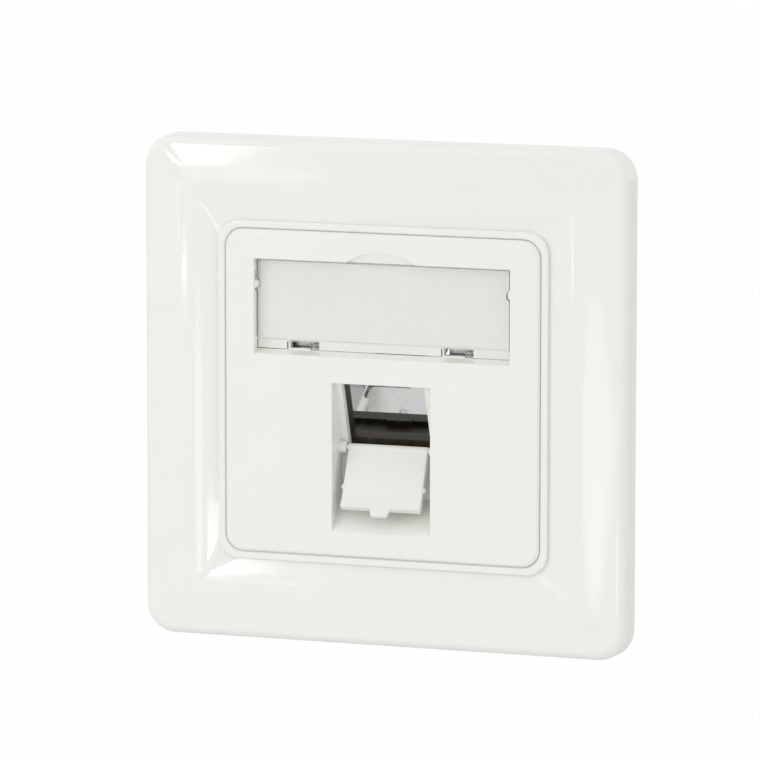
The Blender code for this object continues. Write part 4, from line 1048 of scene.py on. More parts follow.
class OUTLET_OT_cover_frame(bpy.types.Operator):
    """Build the cover frame: outer wall, convex face with mitred corners, inner slope and raised rim"""
    bl_idname = "outlet.cover_frame"
    bl_label = "Cover frame"

    def execute(self, context):
        sizes = context.scene.outlet_cover
        plate = context.scene.outlet_plate
        half = sizes.width / 2
        opening = plate.width / 2 + plate.gap
        rim_outer = opening + sizes.rim_width + RIM_EDGE
        levels = [(half, sizes.corner, 0.0), (half - sizes.draft / 2, sizes.corner, sizes.side / 2)]
        shoulder = half - sizes.draft - sizes.edge
        for across, height in arc((shoulder, sizes.side), sizes.edge, 0, EDGE_SWEEP, 14):
            tightened = (half - sizes.draft - across) * EDGE_TIGHTENING
            levels.append((across, sizes.corner - sizes.draft - tightened, height))
        edge_half, edge_corner, edge_height = levels[-1]
        crest_half = half - sizes.crest_inset
        for index in range(1, CREST_STEPS + 1):
            share = index / CREST_STEPS
            levels.append((edge_half + (crest_half - edge_half) * share,
                           edge_corner + (CREST_CORNER - edge_corner) * share,
                           edge_height + (sizes.crest - edge_height) * math.sin(share * math.pi / 2)))
        rim_corner = plate.corner + plate.gap + RIM_CORNER_STEP
        levels += self.inner_slope(half, rim_outer, rim_corner, sizes)
        top = sizes.rim - RIM_EDGE
        for across, height in arc((rim_outer - RIM_EDGE, top), RIM_EDGE, 0, 90, 5):
            levels.append((across, rim_corner, height))
        inner_corner = plate.corner + plate.gap
        for across, height in arc((opening + RIM_EDGE, top), RIM_EDGE, 90, 180, 5):
            levels.append((across, inner_corner + (across - opening) * 0.5, height))
        ledge_foot = RING_THICKNESS + SEAT_GAP
        ledge_top = ledge_foot + LEDGE_THICKNESS
        snug = plate.gap - SNUG_GAP
        levels.append((opening, inner_corner, sizes.rim - REBATE_DEPTH))
        levels.append((opening - snug, inner_corner - snug, sizes.rim - REBATE_DEPTH))
        levels.append((opening - snug, inner_corner - snug, ledge_top))
        levels.append((opening - LEDGE_DEPTH, inner_corner - LEDGE_DEPTH, ledge_top))
        levels.append((opening - LEDGE_DEPTH, inner_corner - LEDGE_DEPTH, ledge_foot))
        well = opening + FRAME_WALL
        levels.append((well, inner_corner, ledge_foot))
        levels.append((well + FRAME_WALL / 2, inner_corner, ROOF_HEIGHT))
        cavity = half - FRAME_WALL
        cavity_corner = sizes.corner - FRAME_WALL
        levels.append((cavity - FRAME_WALL / 2, cavity_corner, ROOF_HEIGHT))
        levels.append((cavity, cavity_corner, ROOF_HEIGHT - FRAME_WALL / 2))
        levels.append((cavity, cavity_corner, 0.0))
        rings = []
        for across, corner, height in levels:
            inward = min(1.0, max(0.0, (crest_half - across) / (crest_half - rim_outer)))
            outline = rounded(2 * across, 2 * (across - plate.squeeze * inward), corner, steps=14)
            rings.append(place_points(outline, -height, "Y"))
        cover = loft("cover_frame", rings, closed=True)
        combine(cover, self.screw_reliefs(), "DIFFERENCE")
        shade(cover, math.radians(26.0))
        place(cover, finish_named("white_moulding"), "outlet", "outer_frame", "outer_frame")
        return {"FINISHED"}

    def inner_slope(self, half, rim_outer, rim_corner, sizes):
        """Levels from the crest over the inner crease down to the rim's foot."""
        crest_half = half - sizes.crest_inset
        crease_half = half - sizes.valley_inset
        levels = []
        for index in range(1, SLOPE_STEPS + 1):
            share = index / SLOPE_STEPS
            fall = 1.0 - math.cos(share * math.pi / 2)
            levels.append((crest_half + (crease_half - crest_half) * share,
                           CREST_CORNER + (CREASE_CORNER - CREST_CORNER) * share,
                           sizes.crest + (sizes.valley - sizes.crest) * fall))
        for index in range(1, SLOPE_STEPS + 1):
            share = index / SLOPE_STEPS
            levels.append((crease_half + (rim_outer - crease_half) * share,
                           CREASE_CORNER + (rim_corner - CREASE_CORNER) * share,
                           sizes.valley + (sizes.foot - sizes.valley) * share))
        return levels

    def screw_reliefs(self):
        """Pockets behind the face that clear the heads of the box screws."""
        room = BOX_HEAD + SEAT_GAP
        inner = BOX_SPACING / 2 - room
        cutters = []
        for quarter in range(4):
            cutter = block("relief", (inner, -(HEAD_SEAT + HEAD_HEIGHT + SEAT_GAP), -room),
                           (inner + room, CUTTER_REACH, room))
            cutter.data.transform(Matrix.Rotation(quarter * math.pi / 2, 4, "Y"))
            cutters.append(cutter)
        return cutters


class OUTLET_OT_centre_plate(bpy.types.Operator):
    """Build the centre plate with its label recess, finger notch, latch slots and slanted port shaft"""
    bl_idname = "outlet.centre_plate"
    bl_label = "Centre plate"

    def execute(self, context):
        plate = context.scene.outlet_plate
        window = context.scene.outlet_window
        shaft = context.scene.outlet_shaft
        piece = self.shell(plate)
        self.cut_recess(piece, plate, window)
        self.cut_shaft(piece, shaft)
        shade(piece, math.radians(24.0))
        place(piece, finish_named("white_moulding"), "outlet", "centre_plate", "centre_plate")
        return {"FINISHED"}

    def shell(self, plate):
        half = plate.width / 2
        foot = RING_THICKNESS + SEAT_GAP + LEDGE_THICKNESS + SEAT_GAP
        levels = []
        for across, height in arc((half - plate.edge, plate.height - plate.edge), plate.edge, 90, 0, 10):
            levels.append((across, plate.corner - (half - across), height))
        inner = half - plate.skirt
        levels.append((half, plate.corner, foot))
        levels.append((inner, plate.corner - plate.skirt, foot))
        levels.append((inner, plate.corner - plate.skirt, plate.height - plate.face))
        rings = []
        for across, corner, height in levels:
            outline = rounded(2 * across, 2 * (across - plate.squeeze), corner, steps=12)
            rings.append(place_points(outline, -height, "Y"))
        return loft("centre_plate_moulding", rings)

    def cut_recess(self, piece, plate, window):
        """The label recess with rounded mouth, sloped foot, snap pockets, latch slots and screw sinks."""
        half = plate.recess_width / 2
        floor = behind(plate.recess_depth)
        outer = half + RECESS_WALL
        front = behind(plate.face * BACKING_SHARE)
        backing = block("backing", (-outer, front, plate.recess_foot - RECESS_WALL),
                        (outer, floor + RECESS_WALL, plate.recess_top + RECESS_WALL))
        combine(piece, [backing], "UNION")
        low = plate.recess_foot - RECESS_FOOT_SLOPE
        outline = [(half, low), (half, plate.recess_top), (-half, plate.recess_top), (-half, low)]
        cutters = [mouth("recess", outline, behind(0.0), floor, plate.roll * RECESS_ROLL_SHARE,
                         foot_shift=lambda point: (point[0], max(point[1], plate.recess_foot)))]
        centre = plate.recess_top + NOTCH_RISE - plate.notch
        spread = math.degrees(math.acos((plate.recess_top - NOTCH_DIP - centre) / plate.notch))
        outline = arc((0.0, centre), plate.notch, 90 - spread, 90 + spread, 40)
        rim_z = plate.recess_top + NOTCH_RISE
        ramp = [Vector((across, behind(NOTCH_EDGE + NOTCH_DEPTH * (rim_z - up) / NOTCH_RISE), up))
                for across, up in outline]
        cutters.append(loft("finger notch", [place_points(outline, behind(-CUTTER_REACH), "Y"), ramp]))
        for side in (-1, 1):
            edge = side * half
            low, high = window.snap - POCKET_BELOW, window.snap + POCKET_ABOVE
            cutters.append(block("snap pocket", (edge - POCKET_DEPTH, behind(POCKET_SETBACK), low),
                                 (edge + POCKET_DEPTH, floor, high)))
            across = side * latch_centre() + LATCH_SHIFT
            start, end = floor - SINK_REACH, floor + 2 * RECESS_WALL
            cutters.append(block("latch slot", (across - window.latch / 2, start, window.latch_foot),
                                 (across + window.latch / 2, end, window.latch_top)))
            spot = (side * plate_screw_x(), PLATE_SCREW_Z)
            shank = PLATE_SHANK + SEAT_GAP
            cutters.append(round_bar("screw hole", shank, start, end, spot))
            cutters.append(turned("screw sink", [(PLATE_HEAD + SEAT_GAP + SINK_REACH, start),
                                                 (shank, floor + PLATE_HEAD - PLATE_SHANK)], spot))
        combine(piece, cutters, "DIFFERENCE")
        bumps = []
        for side in (-1, 1):
            top = behind(window.setback)
            profile = [(0.0, top - BUMP_DOME), (window.bump * 0.8, top), (window.bump, top + BUMP_ROUNDING),
                       (window.bump, floor + BUMP_FOOT), (0.0, floor + BUMP_FOOT)]
            spot = (side * (half + window.bump - BUMP_REACH), window.snap)
            bumps.append(turned("snap bump", profile, spot, steps=28))
        combine(piece, bumps, "UNION")

    def cut_shaft(self, piece, shaft):
        """The slanted shaft with its rounded mouth, ears for the flap and the aperture."""
        half = shaft.width / 2
        combine(piece, [prism("shaft walls", self.side_view(shaft, SHAFT_WALL), -half - SHAFT_WALL,
                              half + SHAFT_WALL, "X")], "UNION")
        roll = context_plate().roll
        low = roll - shaft.foot
        outline = [(half, low), (half, shaft.top), (-half, shaft.top), (-half, low)]
        combine(piece, [prism("shaft hollow", self.side_view(shaft, 0.0), -half, half, "X"),
                        mouth("shaft mouth", outline, behind(0.0), behind(roll * 1.02), roll)], "DIFFERENCE")
        ear = half - shaft.flap_width / 2 - SEAT_GAP
        ears = []
        for side in (-1, 1):
            inner, outer = side * (half - ear), side * (half + SHAFT_WALL / 2)
            profile = [(0.0, inner), (EAR_RADIUS - EAR_EDGE, inner), (EAR_RADIUS, inner + side * EAR_EDGE),
                       (EAR_RADIUS, outer), (0.0, outer)]
            ears.append(turned("flap ear", profile, FLAP_HINGE, "X", steps=40))
        combine(piece, ears, "UNION")
        deep = SLOPE_WALL + SHAFT_WALL
        top = shaft.top
        opening = [on_slope(0.0, 0.0), (on_slope(0.0, deep)[0], top), on_slope(APERTURE_LENGTH, deep),
                   on_slope(APERTURE_LENGTH, -EAR_RADIUS), (on_slope(0.0, 0.0)[0], top - CUTTER_REACH)]
        reach = half - SHAFT_WALL / 4
        aperture = prism("aperture", opening, -APERTURE_WIDTH / 2, APERTURE_WIDTH / 2, "X")
        bore = round_bar("pin bore", PIN_RADIUS + PIN_ROOM, -reach, reach, FLAP_HINGE, "X")
        combine(piece, [aperture, bore], "DIFFERENCE")

    def side_view(self, shaft, wall):
        """Side view of the hollow, or of the walls round it where a wall thickness is given."""
        slope_wall = SLOPE_WALL if wall else 0.0
        back = behind(shaft.depth + (wall - SEAT_GAP if wall else 0.0))
        front = behind(context_plate().face * BACKING_SHARE if wall else -CUTTER_REACH)
        ramp = -shaft.foot - wall * math.sqrt(2.0)
        end = on_slope(down_at_y(back, slope_wall), slope_wall)
        start = on_slope(down_at_z(shaft.top, slope_wall), slope_wall)
        shelf = behind(context_plate().face) if wall else start[0]
        return [(front, shaft.top + wall), (shelf, shaft.top + wall), start, end,
                (back, ramp + back - behind(0.0)), (front, ramp + front - behind(0.0))]


class OUTLET_OT_label_window(bpy.types.Operator):
    """Build the clear label cover with its stepped bar, scallop and hooks, and the blank card behind it"""
    bl_idname = "outlet.label_window"
    bl_label = "Label window"

    def execute(self, context):
        plate = context.scene.outlet_plate
        window = context.scene.outlet_window
        self.build_cover(plate, window)
        self.build_card(plate, window)
        return {"FINISHED"}

    def build_cover(self, plate, window):
        half = plate.recess_width / 2
        front = behind(window.setback)
        back = front + window.thickness
        side = half - window.gap
        notch = window.bump + window.gap
        right = [(side, plate.recess_foot + window.gap), (side, window.snap - notch),
                 (side - BUMP_REACH, window.snap - notch / 2), (side - BUMP_REACH, window.snap + notch / 2),
                 (side, window.snap + notch), (side, plate.recess_top - window.gap)]
        outline = right + [(-across, up) for across, up in reversed(right)]
        cover = prism("clear_cover", outline, front, back, "Y", edge=PANEL_EDGE, steps=2)
        bar_top = plate.recess_foot + window.gap + window.bar
        scallop = plate.recess_top - window.scallop + plate.notch
        cone = [(plate.notch + SCALLOP_MOUTH, front - ROUND_EDGE),
                (plate.notch - SCALLOP_FOOT, front + window.step)]
        cutters = [block("bar step", (-half, front - MM, plate.recess_foot - MM),
                         (half, front + window.step, bar_top), edge=FINE_EDGE),
                   turned("scallop", cone, (0.0, scallop), steps=160)]
        hooks = []
        for edge in (-1, 1):
            middle = edge * latch_centre() + LATCH_SHIFT
            low = middle - window.latch / 2
            high = middle + window.latch / 2 - SEAT_GAP - HOOK_WIDTH
            cutters.append(block("latch notch", (low, front - window.step, window.latch_foot - SEAT_GAP),
                                 (high, back + window.step, window.latch_top)))
            root = front + window.step * 1.5
            hooks.append(block("hook", (high, root, window.latch_foot + SEAT_GAP),
                               (high + HOOK_WIDTH, back + HOOK_LENGTH, window.latch_top - SEAT_GAP),
                               FINE_EDGE))
        combine(cover, cutters, "DIFFERENCE")
        combine(cover, hooks, "UNION")
        shade(cover, math.radians(20.0))
        place(cover, finish_named("clear_label_window"), "outlet", "label_cover", "label_cover")

    def build_card(self, plate, window):
        back = behind(plate.recess_depth) - SEAT_GAP / 3
        half = plate.recess_width / 2 - 2 * window.gap
        card = block("blank_card_sheet", (-half, back - window.card, window.latch_top + SEAT_GAP),
                     (half, back, plate.recess_top - window.gap), edge=FINE_EDGE)
        shade(card)
        place(card, finish_named("blank_card"), "outlet", "label_card", "label_card")


class OUTLET_OT_dust_flap(bpy.types.Operator):
    """Build the hinged dust flap with its barrel, pins, bent lip, grip tab and snap bumps"""
    bl_idname = "outlet.dust_flap"
    bl_label = "Dust flap"

    def execute(self, context):
        shaft = context.scene.outlet_shaft
        half = FLAP_THICKNESS / 2
        wide = shaft.flap_width / 2
        swing = Matrix.Translation((0.0, *FLAP_HINGE)) @ Matrix.Rotation(-shaft.flap_angle, 4, "X")
        end = (-math.sin(LIP_BEND) * LIP_LENGTH, -shaft.flap_length - math.cos(LIP_BEND) * LIP_LENGTH)
        path = bent([(0.0, 0.0), (0.0, -shaft.flap_length), end], LIP_ROUNDING)
        panel = prism("flap_moulding_piece", strip(path, FLAP_THICKNESS), -wide, wide, "X", edge=PANEL_EDGE)
        pin = shaft.width / 2 - SHAFT_WALL / 4 - PIN_ROOM
        parts = [self.bar("barrel", BARREL_RADIUS, wide), self.bar("pin", PIN_RADIUS, pin)]
        for side in (-1, 1):
            middle = wide - ROUND_EDGE
            profile = [(0.0, side * wide / 2), (FLAP_BUMP, side * wide / 2)]
            for radius, reach in arc((0.0, 0.0), FLAP_BUMP, 0, 75, 5):
                profile.append((radius, side * (middle + reach)))
            profile.append((0.0, side * (middle + FLAP_BUMP)))
            parts.append(turned("bump", profile, (0.0, -FLAP_BUMP_ALONG), "X", steps=24))
        right = [(TAB_END / 2, -TAB_LENGTH), (TAB_WIDTH / 2, 0.0), (TAB_WIDTH / 2, TAB_ROOT)]
        tab = [(-across, up) for across, up in reversed(right)] + right
        lean = Matrix.Translation((0.0, *end)) @ Matrix.Rotation(-LIP_BEND, 4, "X")
        face = -half * 0.9
        parts.append(prism("tab", tab, face, face + TAB_THICKNESS, "Y", edge=PLATE_EDGE, place=lean))
        combine(panel, parts, "UNION")
        panel.data.transform(swing)
        shade(panel, math.radians(40.0))
        place(panel, finish_named("painted_shade_flap_moulding"), "flap", "dust_flap", "dust_flap")
        return {"FINISHED"}

    def bar(self, name, radius, reach):
        """A round bar along the hinge with chamfered ends."""
        right = [(radius, reach - ROUND_EDGE), (radius - ROUND_EDGE, reach), (0.0, reach)]
        left = [(across, -along) for across, along in reversed(right)]
        return turned(name, left + right, (0.0, 0.0), "X", steps=32)


class OUTLET_OT_module_holder(bpy.types.Operator):
    """Build the module holder, coloured near-black as painted shade: slanted frame, window, hook shelf, catch
    and riveted flanges
    """
    bl_idname = "outlet.module_holder"
    bl_label = "Module holder"

    def execute(self, context):
        plate = context.scene.outlet_plate
        sizes = context.scene.outlet_holder
        front = SLOPE_WALL + SEAT_GAP
        seat = front + sizes.front
        back = seat + sizes.bay_depth
        sill = down_at_z(BAY_SILL_Z, 0.0) + SEAT_GAP
        floor = sill + BAY_BELOW_SILL
        ceiling = floor - sizes.bay_height
        top = ceiling - sizes.wall
        foot = floor + sizes.wall
        slope = context.scene.outlet_shaft.slope
        brow = behind(plate.face + 2 * SEAT_GAP)
        backing = behind(plate.recess_depth + RECESS_WALL + SEAT_GAP)
        step = plate.recess_foot - RECESS_WALL - SEAT_GAP
        outer = sizes.bay_width / 2 + sizes.wall
        rear = on_slope(top, (backing - on_slope(top, 0.0)[0]) / math.cos(slope))
        side_view = [on_slope(foot, front), on_slope(down_at_y(brow, front), front), (brow, step),
                     (backing, step), rear, on_slope(top, back), on_slope(ceiling, back),
                     on_slope(ceiling, seat), on_slope(foot, seat)]
        holder = prism("holder_casting", side_view, -outer, outer, "X")
        lintel = sill - sizes.window_height
        half = sizes.window_width / 2
        opening = [on_slope(sill, front - MM), on_slope(lintel, front - MM), on_slope(lintel, seat + MM),
                   on_slope(sill, seat + MM)]
        combine(holder, [prism("window", opening, -half, half, "X")], "DIFFERENCE")
        bite = sizes.wall / 4
        ledge = back - HOOK_LEDGE_LENGTH
        lip = floor - HOOK_LEDGE_HEIGHT
        shelf = [on_slope(floor, seat - MM), on_slope(floor, ledge), on_slope(lip, ledge),
                 on_slope(lip, back), on_slope(foot - bite, back), on_slope(foot - bite, seat - MM)]
        high, near = floor - CATCH_HEIGHT, ledge - CATCH_LENGTH
        catch = [on_slope(floor + bite, near), on_slope(high, near), on_slope(high, ledge + bite),
                 on_slope(floor + bite, ledge + bite)]
        parts = [prism("hook shelf", shelf, -SHELF_WIDTH / 2, SHELF_WIDTH / 2, "X"),
                 prism("catch", catch, CATCH_X - CATCH_WIDTH / 2, CATCH_X + CATCH_WIDTH / 2, "X")]
        for side in (-1, 1):
            first, last = sorted((side * (outer - sizes.wall / 2), side * FLANGE_REACH))
            parts.append(block("flange", (first, SEAT_GAP, FLANGE_FOOT),
                               (last, SEAT_GAP + FLANGE_THICKNESS, FLANGE_TOP)))
        combine(holder, parts, "UNION")
        combine(holder, rivet_holes(-RING_THICKNESS, SEAT_GAP + 2 * FLANGE_THICKNESS), "DIFFERENCE")
        soften(holder, PLATE_EDGE, 2, math.radians(40.0))
        shade(holder, math.radians(50.0))
        # Its near-black finish is painted shade for the bay's shadowed front.
        place(holder, finish_named("painted_shade_casting"), "outlet", "module_holder", "module_holder")
        return {"FINISHED"}


class OUTLET_OT_support_ring(bpy.types.Operator):
    """Build the zinc-plated support ring with its window, slots, screw collars and bent cable tray"""
    bl_idname = "outlet.support_ring"
    bl_label = "Support ring"

    def execute(self, context):
        sizes = context.scene.outlet_ring
        half = sizes.width / 2
        short = half - sizes.chamfer
        corners = [(half, -short), (half, short), (short, half), (-short, half), (-half, short),
                   (-half, -short), (-short, -half), (short, -half)]
        ring = prism("ring_plate", corners, -RING_THICKNESS, 0.0, "Y", edge=PLATE_EDGE)
        middle = (WINDOW_TOP + WINDOW_FOOT) / 2
        outline = rounded(2 * WINDOW_HALF, WINDOW_TOP - WINDOW_FOOT, MM, (0.0, middle), 5)
        combine(ring, [prism("window", outline, -2 * RING_THICKNESS, RING_THICKNESS, "Y")], "DIFFERENCE")
        combine(ring, self.tray(sizes), "UNION")
        combine(ring, self.tie_holes(sizes), "DIFFERENCE")
        combine(ring, self.slots(), "DIFFERENCE")
        collars = []
        bores = []
        for side in (-1, 1):
            spot = (side * plate_screw_x(), PLATE_SCREW_Z)
            wide = PLATE_SHANK + RING_THICKNESS
            profile = [(0.0, -RING_THICKNESS / 2), (wide, -RING_THICKNESS / 2), (wide, COLLAR_FOOT),
                       (PLATE_SHANK + RING_THICKNESS / 1.5, RING_THICKNESS), (0.0, RING_THICKNESS)]
            collars.append(turned("collar", profile, spot))
            bores.append(round_bar("thread", PLATE_SHANK + HOLE_ROOM, -2 * RING_THICKNESS,
                                   2 * RING_THICKNESS, spot))
        combine(ring, collars, "UNION")
        combine(ring, bores, "DIFFERENCE")
        shade(ring, math.radians(30.0))
        place(ring, finish_named("zinc_plate"), "outlet", "support_ring", "support_ring")
        return {"FINISHED"}

    def slots(self):
        """Fixing slots for a 60 mm box, claw slots, claw screw holes and rivet holes."""
        cutters = []
        wide = 2 * (BOX_SHANK + SEAT_GAP)
        low, high = claw_slot_span()
        claw_half = CLAW_WIDTH / 2
        for side in (-1, 1):
            for width, height, centre in ((wide, BOX_SLOT, (side * BOX_SPACING / 2, 0.0)),
                                          (BOX_SLOT, wide, (0.0, side * BOX_SPACING / 2))):
                outline = rounded(width, height, wide / 2 * 0.999, centre, 12)
                cutters.append(prism("box slot", outline, -2 * RING_THICKNESS, RING_THICKNESS, "Y"))
            cutters.append(round_bar("claw hole", CLAW_SHANK + SEAT_GAP, -2 * RING_THICKNESS, RING_THICKNESS,
                                     (side * CLAW_SCREW_X, CLAW_Z)))
            first, last = sorted((side * low, side * high))
            cutters.append(block("claw slot", (first, -2 * RING_THICKNESS, CLAW_Z - claw_half - SEAT_GAP),
                                 (last, RING_THICKNESS, CLAW_Z + claw_half + SEAT_GAP)))
        return cutters + rivet_holes(-2 * RING_THICKNESS, RING_THICKNESS)

    def tray(self, sizes):
        foot = WINDOW_FOOT - TRAY_THICKNESS
        reach = sizes.tray_start + sizes.tray_side / 4
        end = (TRAY_STANDOFF + reach * math.cos(sizes.tray_angle), foot + reach * math.sin(sizes.tray_angle))
        path = bent([(-RING_THICKNESS / 2, foot), (TRAY_STANDOFF, foot), end], NECK_BEND)
        neck = strip(path, TRAY_THICKNESS * NECK_SHARE)
        half = (sizes.tray_width - TRAY_THICKNESS) / 2
        side = -sizes.tray_side
        path = bent([(-half, side), (-half, 0.0), (half, 0.0), (half, side)], TRAY_BEND, 10)
        return [prism("neck", neck, -TRAY_NECK / 2, TRAY_NECK / 2, "X", edge=SHEET_EDGE),
                prism("tray", strip(path, TRAY_THICKNESS), sizes.tray_start, sizes.tray_length, "Z",
                      edge=SHEET_EDGE, place=self.tray_place(sizes))]

    def tray_place(self, sizes):
        bend = Matrix.Translation((0.0, TRAY_STANDOFF, WINDOW_FOOT - TRAY_THICKNESS))
        return bend @ Matrix.Rotation(sizes.tray_angle - math.pi / 2, 4, "X")

    def tie_holes(self, sizes):
        """Two long slots at the tray's tip, a shallow pressed pad below each, and a row of square holes."""
        cuts = []
        for side in (-1, 1):
            cuts.append(("tie slot", TIE_SLOT, side * TIE_SLOT_X, TIE_SLOT_FROM_TIP, TRAY_THICKNESS, 10))
            cuts.append(("pressed pad", PRESSED_PAD, side * PRESSED_PAD_X, PRESSED_PAD_FROM_TIP,
                         -PRESSED_PAD_FLOOR, 6))
        for index in range(TIE_HOLES):
            across = (index - (TIE_HOLES - 1) / 2) * TIE_PITCH
            cuts.append(("tie hole", TIE_HOLE, across, TIE_HOLE_FROM_TIP, TRAY_THICKNESS, 3))
        cutters = []
        for name, (width, height, corner), across, from_tip, floor, steps in cuts:
            outline = rounded(width, height, corner, (across, sizes.tray_length - from_tip), steps)
            cutters.append(prism(name, outline, -TRAY_THICKNESS, floor, "Y", place=self.tray_place(sizes)))
        return cutters


class OUTLET_OT_claws(bpy.types.Operator):
    """Build both spreading claws: hinged tail, slotted arm, bent leg and three teeth"""
    bl_idname = "outlet.claws"
    bl_label = "Claws"

    def execute(self, context):
        sizes = context.scene.outlet_claw
        for side, word in ((-1, "left"), (1, "right")):
            rest = sizes.rest
            leg = rest + sizes.leg_angle
            elbow = (sizes.arm * math.cos(rest), sizes.arm * math.sin(rest))
            tip = (elbow[0] + sizes.leg * math.cos(leg), elbow[1] + sizes.leg * math.sin(leg))
            tail = (CLAW_TAIL * math.sin(rest), -CLAW_TAIL * math.cos(rest))
            path = bent([tail, (0.0, 0.0), elbow, tip], CLAW_BEND)
            outline = strip([(side * across, deep) for across, deep in path], CLAW_THICKNESS)
            claw = prism("claw_sheet_" + word, outline, -CLAW_WIDTH / 2, CLAW_WIDTH / 2, "Z", ROUND_EDGE)
            combine(claw, self.cuts(side, rest, leg, tip), "DIFFERENCE")
            claw.data.transform(Matrix.Translation((side * CLAW_PIVOT_X, claw_pivot_y(), CLAW_Z)))
            shade(claw, math.radians(30.0))
            place(claw, finish_named("zinc_plate"), "swing_claw_" + word, "claws", "claw_" + word)
        return {"FINISHED"}

    def cuts(self, side, rest, leg, tip):
        """The slot for the screw and the gaps between the teeth."""
        along = CLAW_SCREW_X - CLAW_PIVOT_X
        near = along - CLAW_SHANK - 2 * SEAT_GAP
        far = (along + CLAW_SHANK) / math.cos(rest) + CLAW_THICKNESS / 2 * math.tan(rest) + SEAT_GAP
        low, high = sorted((side * near, side * far))
        width = 2 * (CLAW_SHANK + SEAT_GAP)
        cutters = [prism("screw slot", rounded(high - low, width, width * 0.45, ((low + high) / 2, 0.0), 10),
                         -CLAW_THICKNESS, CLAW_THICKNESS, "Y", place=Matrix.Rotation(side * rest, 4, "Z"))]
        pitch = CLAW_WIDTH / 3
        lean = Matrix.Translation((side * tip[0], tip[1], 0.0))
        lean @= Matrix.Rotation(side * (leg - math.pi / 2), 4, "Z")
        spread = pitch / 2 + pitch * MM / TOOTH_DEPTH / 2
        for middle in (-pitch / 2, pitch / 2):
            gap = [(-TOOTH_DEPTH, middle), (MM, middle - spread), (MM, middle + spread)]
            cutters.append(prism("tooth gap", gap, -CLAW_THICKNESS, CLAW_THICKNESS, "X", place=lean))
        return cutters


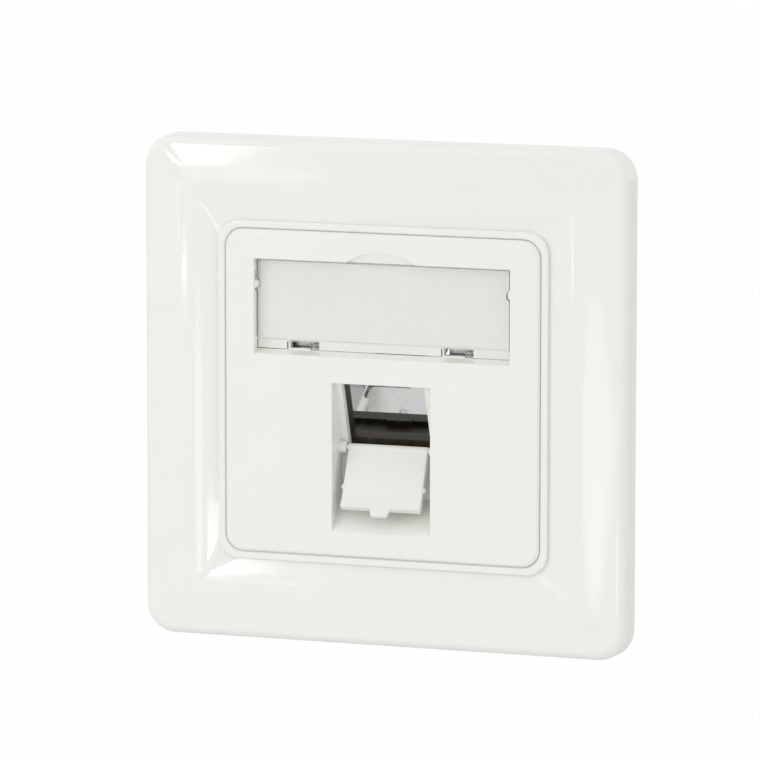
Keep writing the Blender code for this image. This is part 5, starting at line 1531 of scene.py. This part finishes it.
class OUTLET_OT_fasteners(bpy.types.Operator):
    """Build the box, claw and plate screws with real threads, the claw nuts and the holder's rivets"""
    bl_idname = "outlet.fasteners"
    bl_label = "Screws, nuts and rivets"

    def execute(self, context):
        steel = finish_named("bright_steel")
        for side, word in ((-1, "left"), (1, "right")):
            box = self.pan_screw("box_screw_turned_" + word, (side * BOX_SPACING / 2, 0.0), BOX_HEAD,
                                 BOX_SHANK, BOX_SCREW, 0.6 * side, crossed=True)
            place(box, steel, "outlet", "screws", "box_screw_" + word)
            claw = self.pan_screw("claw_screw_turned_" + word, (side * CLAW_SCREW_X, CLAW_Z), CLAW_HEAD,
                                  CLAW_SHANK, CLAW_SCREW, 0.35 * side, crossed=False)
            place(claw, steel, "drive_screw_" + word, "screws", "claw_screw_" + word)
            plate = self.plate_screw("plate_screw_turned_" + word, (side * plate_screw_x(), PLATE_SCREW_Z))
            place(plate, steel, "outlet", "screws", "plate_screw_" + word)
            nut = self.nut("claw_nut_cut_" + word, side)
            place(nut, steel, "draw_nut_" + word, "screws", "claw_nut_" + word)
        for index, spot in enumerate(rivet_places(), 1):
            rivet = self.rivet("rivet_formed_" + str(index), spot)
            place(rivet, steel, "outlet", "screws", "holder_rivet_" + str(index))
        return {"FINISHED"}

    def pan_screw(self, name, spot, head, shank, thread, angle, crossed):
        """A pan head with its driving slot, above a shank with a helical thread."""
        seat = -HEAD_SEAT
        top = seat - HEAD_HEIGHT
        crown = [(head - HEAD_HEIGHT / 2 + across, top + HEAD_HEIGHT / 2 - up)
                 for across, up in arc((0.0, 0.0), HEAD_HEIGHT / 2, 90, 0, 10)]
        foot = [(head, seat - ROUND_EDGE), (head - ROUND_EDGE, seat), (0.0, seat)]
        cap = turned(name + "_head", [(0.0, top)] + crown + foot, spot, steps=64)
        cutters = [self.driver_cut(spot, angle, head + MM, top, DRIVER_SLOT_DEPTH, DRIVER_SLOT)]
        if crossed:
            half = head * DRIVER_CROSS_SHARE
            cutters.append(self.driver_cut(spot, angle, DRIVER_SLOT, top, DRIVER_CROSS_DEPTH, half))
        combine(cap, cutters, "DIFFERENCE")
        shaft = threaded(name + "_shank", spot, seat - SEAT_GAP, seat + thread["reach"], shank,
                         thread["pitch"], THREAD_DEPTH, thread["point"])
        return shade(gather(name, [cap, shaft]), math.radians(35.0))

    def driver_cut(self, spot, angle, reach, top, depth, half):
        """A cutter for a driver's blade, across the head of the screw at a spot."""
        cutter = block("driver cut", (-reach, top - MM, -half), (reach, top + depth, half))
        cutter.data.transform(Matrix.Translation((spot[0], 0.0, spot[1])) @ Matrix.Rotation(angle, 4, "Y"))
        return cutter

    def plate_screw(self, name, spot):
        plate = context_plate()
        top = -(plate.height - plate.recess_depth - SEAT_GAP / 2)
        sink = PLATE_HEAD - PLATE_SHANK
        profile = [(0.0, top), (PLATE_HEAD - SHEET_EDGE, top), (PLATE_HEAD, top + PLATE_HEAD_EDGE),
                   (PLATE_SHANK, top + sink), (0.0, top + sink)]
        cap = turned(name + "_head", profile, spot, steps=64)
        reach, depth, half = PLATE_CROSS
        cutters = [self.driver_cut(spot, PLATE_CROSS_ANGLE + quarter * math.pi / 2, reach, top, depth, half)
                   for quarter in (0, 1)]
        combine(cap, cutters, "DIFFERENCE")
        shaft = threaded(name + "_shank", spot, top + sink - PLATE_OVERLAP, top + PLATE_REACH, PLATE_SHANK,
                         PLATE_PITCH, PLATE_THREAD, PLATE_POINT)
        return shade(gather(name, [cap, shaft]), math.radians(35.0))

    def nut(self, name, side):
        """A square nut with rounded corners and a threaded bore."""
        front = claw_nut_rest_y()
        spot = (side * CLAW_SCREW_X, CLAW_Z)
        outline = rounded(NUT_WIDTH, NUT_HEIGHT, NUT_CORNER, spot, 6)
        nut = prism(name, outline, front, front + NUT_THICKNESS, "Y", edge=NUT_EDGE)
        bore = threaded("bore", spot, front - MM, front + NUT_THICKNESS + MM, CLAW_SHANK + NUT_THREAD,
                        CLAW_SCREW["pitch"], NUT_THREAD, 0.0)
        combine(nut, [bore], "DIFFERENCE")
        return shade(nut, math.radians(35.0))

    def rivet(self, name, spot):
        """A round head in front and a formed, slightly dished tail behind."""
        front = -(RING_THICKNESS + SEAT_GAP / 2)
        tail = SEAT_GAP + FLANGE_THICKNESS + SEAT_GAP / 2
        rise = RIVET_RISE
        dome = [(RIVET_HEAD * across, front - rise * up) for across, up in arc((0.0, 0.0), 1.0, 90, 0, 12)]
        wide = (RIVET_HEAD + RIVET_SHANK) / 2
        profile = dome + [(RIVET_SHANK, front), (RIVET_SHANK, tail), (wide, tail), (wide, tail + rise * 0.8),
                          (wide - RIVET_EDGE, tail + rise), (wide * 0.5, tail + rise),
                          (0.0, tail + rise * 0.85)]
        profile[0] = (0.0, profile[0][1])
        return shade(turned(name, profile, spot, steps=48), math.radians(35.0))


PIECES = (OUTLET_OT_studio, OUTLET_OT_cover_frame, OUTLET_OT_centre_plate, OUTLET_OT_label_window,
          OUTLET_OT_dust_flap, OUTLET_OT_module_holder, OUTLET_OT_support_ring, OUTLET_OT_claws,
          OUTLET_OT_fasteners)


class OUTLET_PT_pieces(bpy.types.Panel):
    bl_label = "Flush Keystone Outlet"
    bl_idname = "OUTLET_PT_pieces"
    bl_space_type = "VIEW_3D"
    bl_region_type = "UI"
    bl_category = "Outlet"

    def draw(self, context):
        for piece in PIECES:
            self.layout.operator(piece.bl_idname)


GROUPS = {
    "outlet_cover": CoverSizes,
    "outlet_plate": PlateSizes,
    "outlet_shaft": ShaftSizes,
    "outlet_window": WindowSizes,
    "outlet_holder": HolderSizes,
    "outlet_ring": RingSizes,
    "outlet_claw": ClawSizes,
    "outlet_colours": OutletColours,
    "outlet_studio": StudioSettings,
}


def register():
    for group in GROUPS.values():
        bpy.utils.register_class(group)
    for name, group in GROUPS.items():
        setattr(bpy.types.Scene, name, PointerProperty(type=group))
    for piece in PIECES:
        bpy.utils.register_class(piece)
    bpy.utils.register_class(OUTLET_PT_pieces)


def unregister():
    bpy.utils.unregister_class(OUTLET_PT_pieces)
    for piece in reversed(PIECES):
        bpy.utils.unregister_class(piece)
    for name in GROUPS:
        delattr(bpy.types.Scene, name)
    for group in reversed(list(GROUPS.values())):
        bpy.utils.unregister_class(group)


def main():
    register()
    for piece in PIECES:
        family, task = piece.bl_idname.split(".")
        getattr(getattr(bpy.ops, family), task)()


if __name__ == "__main__":
    main()
